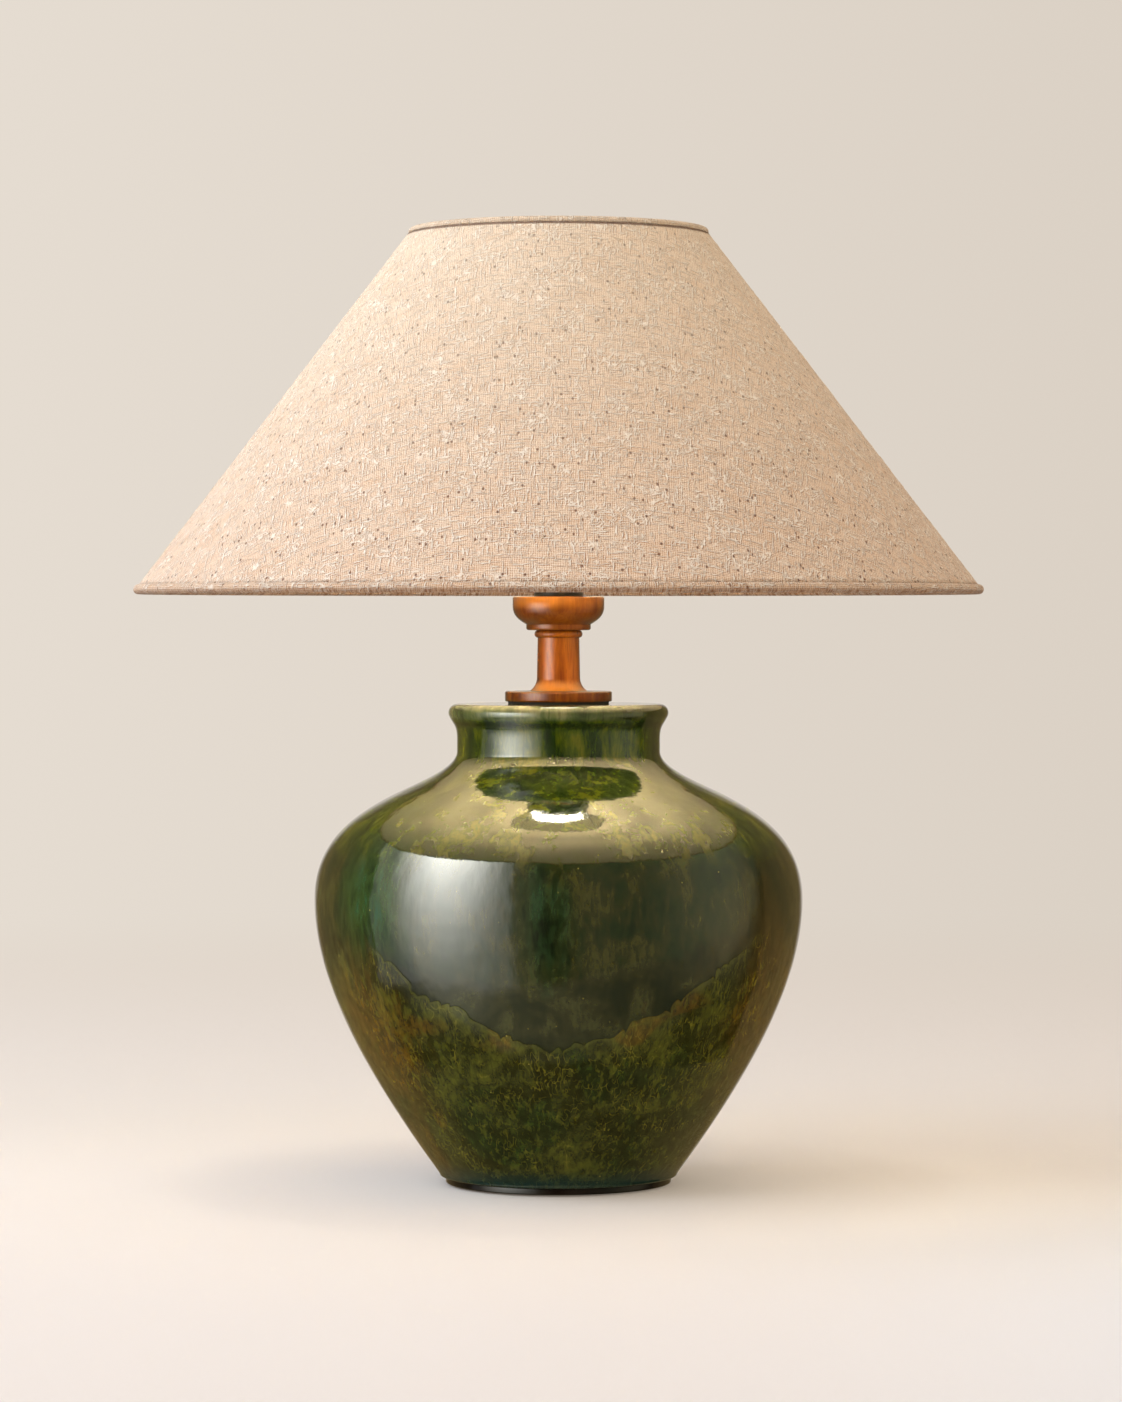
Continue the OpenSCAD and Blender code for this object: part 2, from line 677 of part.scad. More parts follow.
// The shade's wires: the middle of each ring's wire in radius and height
top_c = [shade_top_r - top_trim_r, shade_top_z - top_trim_r];
bottom_c = [shade_bottom_r - bottom_trim_r, shade_top_z - shade_h + bottom_trim_r];
slant = (top_c - bottom_c) / norm(top_c - bottom_c);
out = [slant.y, -slant.x];
linen_in = liner_t + fixed_gap;
linen_out = linen_in + linen_t;
edge_back = wire_r + edge_gap;
// A strip of the cone between two distances from the wires' middle line
function strip(low, high, back) = [bottom_c + low * out + back * slant,
    bottom_c + high * out + back * slant, top_c + high * out - back * slant,
    top_c + low * out - back * slant];

// The arms run straight from the carrier's washer to the top ring
hub = [ring_r + ring_gap + arm_r, carrier_z + arm_r];
arm = (top_c - hub) / norm(top_c - hub);
module shade_carrier() {
    color([0.85, 0.84, 0.8]) {
        translate([0, 0, carrier_z]) ring(hub.x, skirt_r + ring_gap, carrier_t);
        rotate_extrude() translate(top_c) circle(r = wire_r);
        for (i = [0:arms - 1]) rotate(90 + i * 360 / arms) translate([hub.x, 0, hub.y]) {
            sphere(r = arm_r);
            rotate([0, atan2(arm.x, arm.y), 0]) cylinder(r = arm_r, h = norm(top_c - hub));
        }
    }
}
module bottom_ring() {
    color([0.85, 0.84, 0.8]) rotate_extrude() translate(bottom_c) circle(r = wire_r);
}
module shade_lining() {
    color([0.93, 0.87, 0.75]) revolve(strip(0, liner_t, edge_back));
}
module shade_linen() {
    color([0.82, 0.72, 0.6]) revolve(strip(linen_in, linen_out, edge_back));
}
// The point of a circle round the wire where an edge of the cloth leaves it. The edge
// lies `side` off the wire's middle and runs `along`, square to that
function leaves(edge, r) = edge[0] + sqrt(r * r - edge[0] * edge[0]) * edge[1];
function angle_of(v) = atan2(v.y, v.x);
function arc_between(c, r, first, last) = let (from = angle_of(leaves(first, r)),
    to = angle_of(leaves(last, r))) arc(c, r, from, to > from ? to : to + 360, round_steps);
// A rolled trim round a wire, open from its last edge on to its first
module trim(c, roll, first, last) {
    revolve(concat(arc_between(c, roll, first, last),
        flipped(arc_between(c, wire_r + wire_gap, first, last))));
}
module top_trim() {
    arm_side = (arm_r + fixed_gap) * [-arm.y, arm.x];
    color([0.75, 0.65, 0.52]) trim(top_c, top_trim_r,
        [(linen_out + fixed_gap) * out, -slant], [arm_side, -arm]);
}
module bottom_trim() {
    color([0.75, 0.65, 0.52]) trim(bottom_c, bottom_trim_r,
        [-fixed_gap * out, slant], [(linen_out + fixed_gap) * out, slant]);
}

// The bulb, in heights above its centre contact
glass_z = bulb_foot_h + bulb_cap_h;
ball_z = bulb_len - bulb_r;
flank_h = ball_z - glass_z;
flank_low = 0.45;
flank_high = 0.5;
glass_side = [[bulb_cap_r, glass_z], [bulb_cap_r, glass_z + flank_h * flank_low],
    [bulb_r, ball_z - flank_h * flank_high], [bulb_r, ball_z]];
module bulb_glass() {
    outline = concat(bez(glass_side), tail(arc([0, ball_z], bulb_r, 0, 90, 12)),
        arc([0, ball_z], bulb_r - glass_t, 90, 0, 12),
        tail(flipped(inside(glass_side, glass_t))));
    color([0.95, 0.94, 0.9]) translate([0, 0, tip_z]) revolve(outline);
}
module bulb_cap() {
    inner = bulb_cap_r - bulb_thread - cap_sheet_t;
    turns = floor((bulb_cap_h - bulb_pitch / 2) / bulb_pitch);
    steps = 8;
    thread = [for (i = [0:turns * steps]) [bulb_cap_r - bulb_thread / 2
        - bulb_thread / 2 * cos(i * 360 / steps), bulb_foot_h + i * bulb_pitch / steps]];
    outline = concat(thread, [[bulb_cap_r, glass_z - bulb_pitch / 4],
        [bulb_cap_r, glass_z - fixed_gap], [inner, glass_z - fixed_gap],
        [inner, bulb_foot_h]]);
    color("silver") translate([0, 0, tip_z]) revolve(outline);
}
module bulb_insulator() {
    inner = bulb_cap_r - bulb_thread - cap_sheet_t - fixed_gap;
    color([0.1, 0.1, 0.1]) translate([0, 0, tip_z]) revolve([[0, tip_h], [tip_r, tip_h],
        [inner, bulb_foot_h - tip_h], [inner, bulb_foot_h + tip_h], [0, bulb_foot_h + tip_h]]);
}
module bulb_contact() {
    bevel = tip_h * 0.6;
    color("silver") translate([0, 0, tip_z]) revolve([[0, 0], [tip_r - bevel, 0],
        [tip_r, bevel], [tip_r, tip_h - fixed_gap], [0, tip_h - fixed_gap]]);
}
module bulb_stem() {
    bell_r = bulb_cap_r - glass_t - 2 * turn_gap;
    color([0.9, 0.92, 0.92]) translate([0, 0, tip_z + glass_z + turn_gap]) revolve([[0, 0],
        [bell_r, 0], [bell_r, glass_t], [stem_r, stem_r * 2], [stem_r, stem_h], [0, stem_h]]);
}
module bulb_strips() {
    count = 4;
    hub_t = 1;
    lean = 12;
    color([0.95, 0.8, 0.4]) translate([0, 0, tip_z + glass_z + stem_h + turn_gap]) {
        cylinder(r = stem_r, h = hub_t);
        for (i = [0:count - 1]) rotate(45 + i * 360 / count)
            translate([stem_r - strip_r, 0, hub_t / 2]) rotate([0, lean, 0])
            cylinder(r = strip_r, h = strip_len);
    }
}

urn();
base_plate();
base_felt();
cord_bush();
neck_gasket();
wood_neck();
wood_cup();
tie_rod();
bottom_washer();
bottom_nut();
clamp_washer();
clamp_nut();
holder_cap();
rod_insert();
grub_screw();
holder_core();
core_screws();
terminal_screws();
screw_shell();
centre_contact();
holder_skirt();
shade_ring();
switch_knob();
switch_spindle();
switch_rotor();
shade_carrier();
bottom_ring();
shade_lining();
shade_linen();
top_trim();
bottom_trim();
bulb_glass();
bulb_cap();
bulb_insulator();
bulb_contact();
bulb_stem();
bulb_strips();
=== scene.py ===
# %% [markdown]
# # A bedside lamp, dressed over its working parts
#
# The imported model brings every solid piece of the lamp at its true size. This
# lesson loads it as a fixed frame, sets the camera and the light, and then gives
# each piece its surface: a glazed urn, lacquered wood, black plastic, a linen
# shade and a glass bulb. Pieces whose real surface is finer than their solid are
# built again as grids of points and stand in for it.

import bmesh
import bpy
import numpy as np
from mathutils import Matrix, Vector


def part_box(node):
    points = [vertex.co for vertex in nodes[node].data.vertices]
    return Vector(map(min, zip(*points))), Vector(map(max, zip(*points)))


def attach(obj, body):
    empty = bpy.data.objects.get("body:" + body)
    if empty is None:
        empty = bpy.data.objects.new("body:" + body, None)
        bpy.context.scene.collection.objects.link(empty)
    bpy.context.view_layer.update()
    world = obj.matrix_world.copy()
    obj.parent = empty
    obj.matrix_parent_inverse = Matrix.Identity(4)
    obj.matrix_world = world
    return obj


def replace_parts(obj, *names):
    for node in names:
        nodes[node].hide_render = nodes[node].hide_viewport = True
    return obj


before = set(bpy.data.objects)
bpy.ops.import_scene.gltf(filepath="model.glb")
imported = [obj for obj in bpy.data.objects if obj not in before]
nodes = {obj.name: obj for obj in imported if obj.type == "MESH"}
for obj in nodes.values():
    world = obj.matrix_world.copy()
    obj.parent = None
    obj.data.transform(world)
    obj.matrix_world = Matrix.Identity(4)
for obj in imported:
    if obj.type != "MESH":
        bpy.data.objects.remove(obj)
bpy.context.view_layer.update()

# %% Put something in the scene
def add_object(name, data):
    """An object at the origin that holds a mesh, a light or a camera."""
    thing = bpy.data.objects.new(name, data)
    bpy.context.scene.collection.objects.link(thing)
    return thing


# %% [markdown]
# ## The camera
#
# The photograph was taken from a little over the wood neck, 2.4 m away. A level
# camera keeps upright lines upright, so the picture is slid down on the sensor
# instead of tipping the camera. One pixel at the lamp's middle is 0.53 mm.

# %% Camera
MM = 0.001
photo_w, photo_h = 1122, 1402
pixel = 0.5313 * MM
lamp_column = 558.5
horizon_row = 614
focal_pixels = 4500
sensor = 36
distance = focal_pixels * pixel
eye_height = 302 * MM

camera_data = bpy.data.cameras.new("camera")
camera_data.sensor_width = sensor
camera_data.lens = focal_pixels / photo_h * sensor
camera_data.shift_y = -(photo_h / 2 - horizon_row) / photo_h
camera = add_object("camera", camera_data)
eye = np.array([(photo_w / 2 - lamp_column) * pixel, -distance, eye_height])
camera.location = eye
camera.rotation_euler = (np.pi / 2, 0, 0)
bpy.context.scene.camera = camera
print("lens", round(camera_data.lens, 1), "distance", round(distance, 3))

# %% [markdown]
# ## Colours and node trees
#
# Colours are written as a screen shows them, from 0 to 255, and turned into the
# linear light that the renderer adds up. The small class below puts shader nodes
# into a tree with one call each, so that a finish reads from top to bottom.

# %% Screen colour to linear light
def screen(r, g, b):
    """Each channel over 255, then a power curve of 2.4 with a short straight foot."""
    c = np.array([r, g, b]) / 255
    linear = np.where(c <= 0.04045, c / 12.92, ((c + 0.055) / 1.055) ** 2.4)
    return tuple(float(v) for v in linear) + (1.0,)


# %% Short names for shader nodes
class Nodes:
    """Adds nodes to one tree. A socket given as an input is linked, and anything else is set."""

    def __init__(self, tree):
        self.tree = tree

    def add(self, kind, inputs=None, **settings):
        """A node of a kind, named without ShaderNode, with inputs by name or by number."""
        node = self.tree.nodes.new("ShaderNode" + kind)
        for key, value in settings.items():
            setattr(node, key, value)
        for key, value in (inputs or {}).items():
            if isinstance(value, bpy.types.NodeSocket):
                self.tree.links.new(value, node.inputs[key])
            else:
                node.inputs[key].default_value = value
        return node

    def math(self, operation, a, b=0.0, clamp=False):
        return self.add("Math", {0: a, 1: b}, operation=operation, use_clamp=clamp).outputs[0]

    def times(self, *values):
        """All the values multiplied together."""
        product = values[0]
        for value in values[1:]:
            product = self.math("MULTIPLY", product, value)
        return product

    def less(self, value):
        """What a value leaves of 1."""
        return self.math("SUBTRACT", 1.0, value)

    def blend(self, *parts):
        """The sum of value times share for each part (value, share)."""
        total = self.times(*parts[0])
        for part in parts[1:]:
            total = self.math("ADD", total, self.times(*part))
        return total

    def line(self, value, slope, start):
        """slope times the value plus start, kept between 0 and 1."""
        return self.add("Math", {0: value, 1: slope, 2: start}, operation="MULTIPLY_ADD",
            use_clamp=True).outputs[0]

    def axes(self, vector):
        return self.add("SeparateXYZ", {0: vector}).outputs

    def shift(self, a, b):
        return self.add("VectorMath", {0: a, 1: b}, operation="ADD").outputs[0]

    def scaled(self, vector, scale):
        return self.add("VectorMath", {0: vector, 3: scale}, operation="SCALE").outputs[0]

    def distance(self, a, b=(0, 0, 0)):
        return self.add("VectorMath", {0: a, 1: b}, operation="DISTANCE").outputs["Value"]

    def stretch(self, vector, scale):
        return self.add("Mapping", {"Vector": vector, "Scale": scale}).outputs[0]

    def noise(self, vector, scale, detail=3.0, roughness=0.5, distortion=0.0):
        return self.add("TexNoise", {"Vector": vector, "Scale": scale, "Detail": detail,
            "Roughness": roughness, "Distortion": distortion}).outputs[0]

    def cells(self, vector, scale, dimensions="3D"):
        """Distance to the nearest of one random point per cube, or per square in 2D."""
        return self.add("TexVoronoi", {"Vector": vector, "Scale": scale},
            voronoi_dimensions=dimensions).outputs["Distance"]

    def band(self, value, low, high):
        """0 below low, 1 above high, and a soft S between them."""
        return self.add("MapRange", {"Value": value, "From Min": low, "From Max": high},
            interpolation_type="SMOOTHSTEP").outputs[0]

    def hill(self, value, low_side, middle, high_side):
        """1 at middle, and down to 0 at both sides in soft curves."""
        return self.times(self.band(value, low_side, middle),
            self.less(self.band(value, middle, high_side)))

    def spread(self, value, low, high):
        """A value from 0 to 1 spread between low and high."""
        return self.add("MapRange", {"Value": value, "To Min": low, "To Max": high}).outputs[0]

    def ramp(self, value, stops):
        """A colour that runs through the stops (place, colour)."""
        node = self.add("ValToRGB", {0: value})
        elements = node.color_ramp.elements
        for place, colour in stops[2:]:
            elements.new(place)
        for element, (place, colour) in zip(elements, stops):
            element.position = place
            element.color = colour
        return node.outputs[0]

    def mix(self, factor, a, b):
        return self.add("Mix", {0: factor, 6: a, 7: b}, data_type="RGBA").outputs[2]

    def coats(self, colour, layers):
        """Colours laid over a first one, each as (mask, share of it, colour)."""
        for mask, share, over in layers:
            colour = self.mix(self.times(mask, share), colour, over)
        return colour

    def bump(self, height, distance, strength=1.0):
        return self.add("Bump", {"Height": height, "Distance": distance,
            "Strength": strength}).outputs[0]

    def group(self, tree, inputs):
        return self.add("Group", inputs, node_tree=tree).outputs


# %% A new material, and its last step
def start_material(name):
    """An empty material, its nodes, and its Object coordinates in metres."""
    material = bpy.data.materials.new(name)
    material.use_nodes = True
    material.node_tree.nodes.clear()
    n = Nodes(material.node_tree)
    return material, n, n.add("TexCoord").outputs["Object"]


def end_material(n, sockets):
    """The surface shader with the given sockets, wired to the material's output."""
    shader = n.add("BsdfPrincipled", sockets)
    n.add("OutputMaterial", {"Surface": shader.outputs[0]})


# %% [markdown]
# ## The room
#
# The picture is a plain warm wall that runs into a lighter floor. Here the floor
# is one wide round sheet that turns into the wall's colour far from the lamp, so
# no edge shows from any side, and from below it is clear. It is left out of
# reflections, because the glaze in the photograph mirrors tall windows and not a
# floor. The light is a soft window on the left, and a weak warm light from all
# round. What the gloss mirrors is paler behind the lamp than in front, as in a
# room with its windows at the sides, and brightest right overhead, where the lamp
# lights the ceiling through the open top of its shade.

# %% Wall colours and the sky round the scene
wall_left, wall_right = screen(229, 220, 209), screen(219, 209, 197)
wall_colour = screen(226, 216, 205)
wall_spread = 4.0
room_in_front, room_behind = screen(40, 44, 36), screen(126, 107, 72)
ceiling, lit_ceiling = screen(214, 206, 184), (2.6, 2.0, 0.95, 1.0)
fill_left, fill_right = (1.05, 0.96, 0.91, 1.0), (0.77, 0.62, 0.46, 1.0)

world = bpy.data.worlds.new("room")
world.use_nodes = True
world.node_tree.nodes.clear()
w = Nodes(world.node_tree)
axes = w.axes(w.add("TexCoord").outputs["Generated"])
ray = w.add("LightPath").outputs
mirrored = room_in_front
for axis, low, high, colour in (("Y", -0.2, 0.7, room_behind), ("Y", 0.93, 0.998, wall_colour),
        ("Z", 0.45, 0.9, ceiling), ("Z", 0.84, 0.93, lit_ceiling)):
    mirrored = w.mix(w.band(axes[axis], low, high), mirrored, colour)
is_mirror = w.math("MAXIMUM", ray["Is Glossy Ray"], ray["Is Transmission Ray"])
wall = w.mix(w.line(axes["X"], wall_spread, 0.5), wall_left, wall_right)
fill = w.mix(w.band(axes["X"], -0.9, 0.9), fill_left, fill_right)
seen = w.mix(ray["Is Camera Ray"], w.mix(is_mirror, fill, mirrored), wall)
sky = w.add("Background", {"Color": seen, "Strength": 1.0})
w.add("OutputWorld", {"Surface": sky.outputs[0]})
bpy.context.scene.world = world
bpy.context.scene.view_settings.view_transform = "Standard"

# %% Window light on the left, and a warm glow inside the shade
shade_middle = np.array([0, 0, 0.3])


def add_light(name, kind, place, energy, colour, size):
    """A lamp at place that looks at the shade's middle. It never shows in a reflection."""
    light = add_object(name, bpy.data.lights.new(name, kind))
    light.data.energy = energy
    light.data.color = colour
    light.location = place
    light.visible_glossy = False
    if kind == "AREA":
        light.data.size = size
        back = np.array(place) - shade_middle
        turn = np.arctan2(back[0], -back[1])
        lean = np.arctan2(np.hypot(back[0], back[1]), back[2])
        light.rotation_euler = (lean, 0, turn)
    else:
        light.data.shadow_soft_size = size


add_light("window", "AREA", place=(-1.75, -0.25, 1.5), energy=40.0,
    colour=(0.7, 0.81, 0.98), size=2.6)
add_light("inner_glow", "POINT", place=(0, 0, 0.4), energy=0.12,
    colour=(1.0, 0.8, 0.56), size=0.05)

# %% Measures of the round floor, and the rings of any disc
floor_radius, floor_middle = 14.0, 0.05
floor_rings, floor_spokes = 40, 96
near_fade, far_fade = 0.75, 2.2


def disc_points(radii, spokes, height=0.0):
    """Rings of points round +Z: x = r cos a, y = r sin a, all at one height."""
    a = np.linspace(0, 2 * np.pi, spokes, endpoint=False)
    rings = np.asarray(radii)[:, None]
    flat = [rings * np.cos(a), rings * np.sin(a), np.full((len(radii), spokes), height)]
    return np.stack(flat, axis=-1)


# %% [markdown]
# ## Grids of points
#
# Most of the lamp was turned on a wheel or a lathe, so its surfaces are grids:
# one number runs along a profile and the other round the axis. A helper joins
# any such grid into four-sided faces that point outwards, closes its seam, and
# can store where each corner lies on the flat cloth.

# %% Grid to mesh
def grid_mesh(name, points, cloth=None, closed=(False, True)):
    """Joins points[i, j] to its neighbours. A closed direction joins its last row to its
    first. cloth[i, j] is the flat cloth's place of the point, with one more column."""
    rows, columns = points.shape[:2]
    i = np.arange(rows - 1 + closed[0])[:, None]
    j = np.arange(columns - 1 + closed[1])[None, :]
    low, high = i % rows * columns, (i + 1) % rows * columns
    left, right = j % columns, (j + 1) % columns
    faces = np.stack([low + left, low + right, high + right, high + left], axis=-1)
    mesh = bpy.data.meshes.new(name)
    mesh.from_pydata(points.reshape(-1, 3), [], faces.reshape(-1, 4))
    if cloth is not None:
        corners = [cloth[i, j], cloth[i, j + 1], cloth[i + 1, j + 1], cloth[i + 1, j]]
        places = np.stack(corners, axis=2).reshape(-1)
        mesh.uv_layers.new(name="cloth").data.foreach_set("uv", places.astype(np.float32))
    return mesh


# %% Close poles, smooth and place a mesh on a body
def finish_mesh(mesh, crease=40):
    """Merges points that share a place, shades smooth, and keeps edges sharper than crease."""
    work = bmesh.new()
    work.from_mesh(mesh)
    bmesh.ops.remove_doubles(work, verts=work.verts, dist=1e-7)
    bmesh.ops.dissolve_degenerate(work, edges=work.edges, dist=1e-8)
    work.to_mesh(mesh)
    work.free()
    mesh.shade_smooth()
    mesh.set_sharp_from_angle(angle=np.radians(crease))


def place_piece(mesh, material, body):
    """Makes the mesh an object at the origin that rides on a body."""
    mesh.materials.append(material)
    piece = add_object(mesh.name, mesh)
    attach(piece, body)
    print(piece.name, "faces", len(mesh.polygons))
    return piece


def thicken(piece, thickness):
    """Gives a thin sheet its thickness, inwards from its outer face."""
    wall = piece.modifiers.new("thickness", "SOLIDIFY")
    wall.thickness = thickness
    wall.offset = -1


# %% Curves for profiles
def bezier_at(p, t):
    """The place t, from 0 to 1, on a cubic curve through p[0] and p[3]."""
    p = np.asarray(p, float)
    return ((1 - t) ** 3 * p[0] + 3 * (1 - t) ** 2 * t * p[1]
        + 3 * (1 - t) * t ** 2 * p[2] + t ** 3 * p[3])


def bezier(p, steps):
    return bezier_at(p, np.linspace(0, 1, steps)[:, None])


def polar(degrees):
    a = np.radians(degrees)
    return np.stack([np.cos(a), np.sin(a)], axis=-1)


def arc(centre, radius, start, end, steps):
    """Points at one radius from centre, from angle start to angle end."""
    return np.asarray(centre) + radius * polar(np.linspace(start, end, steps))


def revolve(profile, columns):
    """Carries points of (radius, height) round +Z from the front: x = r sin a, y = -r cos a."""
    a = np.linspace(0, 2 * np.pi, columns, endpoint=False)
    r, h = profile[:, :1], profile[:, 1:]
    return np.stack([r * np.sin(a), -r * np.cos(a), h + 0 * a], axis=-1)


# %% Lay the floor
floor_radii = np.r_[np.geomspace(floor_radius, floor_middle, floor_rings), 0]
floor_mesh = grid_mesh("floor", disc_points(floor_radii, floor_spokes))
finish_mesh(floor_mesh)
floor = add_object("floor", floor_mesh)
floor.visible_glossy = False

# %% Floor colours, the light scattered into the shadow, and the far wall
floor_material, n, place = start_material("pale_floor")
at = n.axes(place)
right_of_front = n.times(n.band(at["X"], 0.0, 0.35), n.less(n.band(at["Y"], -0.25, 0.3)))
# The floor is painted darker behind the lamp and lighter right of its front: painted shade and
# painted light.
floor_colour_with_painted_light = n.coats(screen(226, 223, 220), [
    (n.band(at["Y"], -0.05, 0.35), 1.0, screen(219, 216, 211)),
    (right_of_front, 1.0, screen(228, 230, 232))])
shadow_place, shadow_light = (0.1, -0.03, 0), (0.18, 0.155, 0.125, 1.0)
scattered = n.less(n.band(n.distance(place, shadow_place), 0.02, 0.26))
paper = n.add("BsdfPrincipled", {"Base Color": floor_colour_with_painted_light, "Roughness": 1.0,
    "Specular IOR Level": 0.0, "Emission Color": shadow_light, "Emission Strength": scattered})
from_eye = n.math("DIVIDE", at["X"], n.math("ADD", n.math("ABSOLUTE", at["Y"]), distance))
plain = n.add("Emission", {"Color": n.mix(n.line(from_eye, wall_spread, 0.5), wall_left,
    wall_right)})
far = n.band(n.distance(place), near_fade, far_fade)
floor_mix = n.add("MixShader", {0: far, 1: paper.outputs[0], 2: plain.outputs[0]})
from_below = n.add("NewGeometry").outputs["Backfacing"]
one_sided = n.add("MixShader", {0: from_below, 1: floor_mix.outputs[0],
    2: n.add("BsdfTransparent").outputs[0]})
n.add("OutputMaterial", {"Surface": one_sided.outputs[0]})
floor_mesh.materials.append(floor_material)

# %% [markdown]
# ## Shared effects
#
# Four effects turn up in many finishes, so each is a node group with its own
# inputs: the fine unevenness of any made surface, dust that settles on what faces
# up, the weave of cloth, and the long marks of turning and brushing.

# %% A group with named sockets
def start_group(name, inputs, outputs):
    """A node group whose inputs are {name: value}, vectors where the value is a tuple."""
    tree = bpy.data.node_groups.new(name, "ShaderNodeTree")
    for key, value in inputs.items():
        kind = "NodeSocketVector" if isinstance(value, tuple) else "NodeSocketFloat"
        socket = tree.interface.new_socket(key, in_out="INPUT", socket_type=kind)
        socket.default_value = value
    for key, kind in outputs.items():
        tree.interface.new_socket(key, in_out="OUTPUT", socket_type="NodeSocket" + kind)
    n = Nodes(tree)
    return n, tree.nodes.new("NodeGroupInput").outputs


def end_group(n, values):
    out = n.tree.nodes.new("NodeGroupOutput")
    for key, socket in values.items():
        n.tree.links.new(socket, out.inputs[key])
    return n.tree


# %% Fine unevenness
n, given = start_group("fine_unevenness",
    {"Place": (0, 0, 0), "Scale": 300.0, "Roughness": 0.4, "Spread": 0.1},
    {"Roughness": "Float", "Height": "Float"})
broad = n.noise(given["Place"], n.times(given["Scale"], 0.12), 3.0)
small = n.noise(given["Place"], given["Scale"], 4.0, 0.6)
both = n.blend((broad, 0.5), (small, 0.5))
swing = n.times(n.math("SUBTRACT", both, 0.5), given["Spread"])
fine_unevenness = end_group(n, {
    "Roughness": n.math("ADD", given["Roughness"], n.times(swing, 4.0), True),
    "Height": both})

# %% Settled dust
n, given = start_group("settled_dust", {"Place": (0, 0, 0), "Amount": 0.3}, {"Mask": "Float"})
normal = n.add("NewGeometry").outputs["Normal"]
upward = n.band(n.axes(normal)["Z"], 0.3, 0.95)
specks = n.band(n.noise(given["Place"], 700.0, 4.0, 0.7), 0.46, 0.66)
settled_dust = end_group(n, {"Mask": n.times(upward, specks, given["Amount"])})

# %% Weave of warp and weft
n, given = start_group("weave",
    {"Cloth": (0, 0, 0), "Pitch": 0.001, "Waver": 0.0008},
    {"Height": "Float", "Gaps": "Float", "Thick threads": "Float", "Threads": "Float"})
cloth_noise = n.add("TexNoise", {"Vector": given["Cloth"], "Scale": 190.0,
    "Detail": 2.0}).outputs["Color"]
centred = n.shift(cloth_noise, (-0.5, -0.5, -0.5))
wandering = n.shift(given["Cloth"], n.scaled(centred, given["Waver"]))
uv = n.axes(wandering)
count = n.math("DIVIDE", np.pi, given["Pitch"])
across = n.math("SINE", n.times(uv["X"], count))
along = n.math("SINE", n.times(uv["Y"], count))
over = n.times(across, along)
warp = n.math("ABSOLUTE", across)
weft = n.math("ABSOLUTE", along)
top_thread = n.band(over, -0.25, 0.25)
thread_height = n.blend((warp, top_thread), (weft, n.less(top_thread)))
pores = n.less(n.band(n.math("MAXIMUM", warp, weft), 0.2, 0.75))
warp_threads = n.noise(n.stretch(wandering, (1.0, 0.09, 1.0)), 1150.0, 2.0, 0.6)
weft_threads = n.noise(n.stretch(n.shift(wandering, (0.7, 0, 0)), (0.09, 1.0, 1.0)), 1150.0,
    2.0, 0.6)
thick = n.band(n.math("MAXIMUM", warp_threads, weft_threads), 0.57, 0.66)
curl_field = n.noise(given["Cloth"], 210.0, 1.0, 0.5, 1.2)
curls = n.less(n.band(n.math("ABSOLUTE", n.math("SUBTRACT", curl_field, 0.5)), 0.01, 0.06))
curly = n.band(n.noise(n.shift(given["Cloth"], (1.3, 0.4, 0)), 70.0, 2.0), 0.46, 0.6)
raised = n.math("MAXIMUM", thick, n.times(curls, curly, 0.8))
lint = n.noise(given["Cloth"], 1500.0, 2.0, 0.6)
weave = end_group(n, {"Height": n.blend((thread_height, 0.5), (raised, 1.0), (lint, 0.5)),
    "Gaps": pores, "Thick threads": raised, "Threads": thread_height})

# %% Turned or brushed marks
n, given = start_group("tool_marks", {"Place": (0, 0, 0), "Stretch": (1, 1, 12)},
    {"Height": "Float"})
stretched = n.add("VectorMath", {0: given["Place"], 1: given["Stretch"]},
    operation="MULTIPLY").outputs[0]
tool_marks = end_group(n, {"Height": n.noise(stretched, 260.0, 5.0, 0.65)})

# %% [markdown]
# ## The glazed urn
#
# The urn was thrown on a wheel, so one profile carried round the axis gives both
# its outside and its inside. The profile is four curves: from the foot up to the
# belly, over the shoulder, into the neck, and out into a rolled rim. The hole for
# the cord in its back is cut by two short cylinders.

# %% Urn measures
urn_low, urn_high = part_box("urn")
urn_z = urn_low[2]
urn_h = urn_high[2] - urn_low[2]
belly_r = urn_high[0]
foot_r, foot_round, foot_slope, foot_reach = 63.4 * MM, 1.4 * MM, 54, 62 * MM
foot_open_r, floor_t = 49 * MM, 7 * MM
belly_h, belly_low, belly_high = 146.4 * MM, 45 * MM, 30 * MM
shoulder = np.array([88.4, 201.3]) * MM
shoulder_slope, shoulder_out, shoulder_in = 26.9, 24 * MM, 14 * MM
neck_r, neck_h, neck_low, neck_len = 54 * MM, 224.7 * MM, 9 * MM, 6.4 * MM
rim_r, rim_roll, roll_at = 58.5 * MM, 4.6 * MM, -25
urn_wall, deck_t, rod_hole_r = 6 * MM, 6 * MM, 5.3 * MM
print("urn height", round(urn_h, 4), "belly radius", round(belly_r, 4))

# %% Urn profile
foot_corner = np.array([foot_r, foot_round])
low_side = [foot_corner, foot_corner + foot_reach * polar(foot_slope),
    [belly_r, belly_h - belly_low], [belly_r, belly_h]]
high_side = [[belly_r, belly_h], [belly_r, belly_h + belly_high],
    shoulder + shoulder_out * polar(-shoulder_slope), shoulder]
into_neck = [shoulder, shoulder - shoulder_in * polar(-shoulder_slope),
    [neck_r, neck_h - neck_low], [neck_r, neck_h]]
roll_centre = np.array([rim_r - rim_roll, urn_h - rim_roll])
roll_start = roll_centre + rim_roll * polar(roll_at)
neck_top = neck_h + neck_len
flare_h = roll_start[1] - neck_top
flare = [[neck_r, neck_top], [neck_r, neck_top + 0.6 * flare_h],
    roll_start - 0.45 * flare_h * polar(90 + roll_at), roll_start]


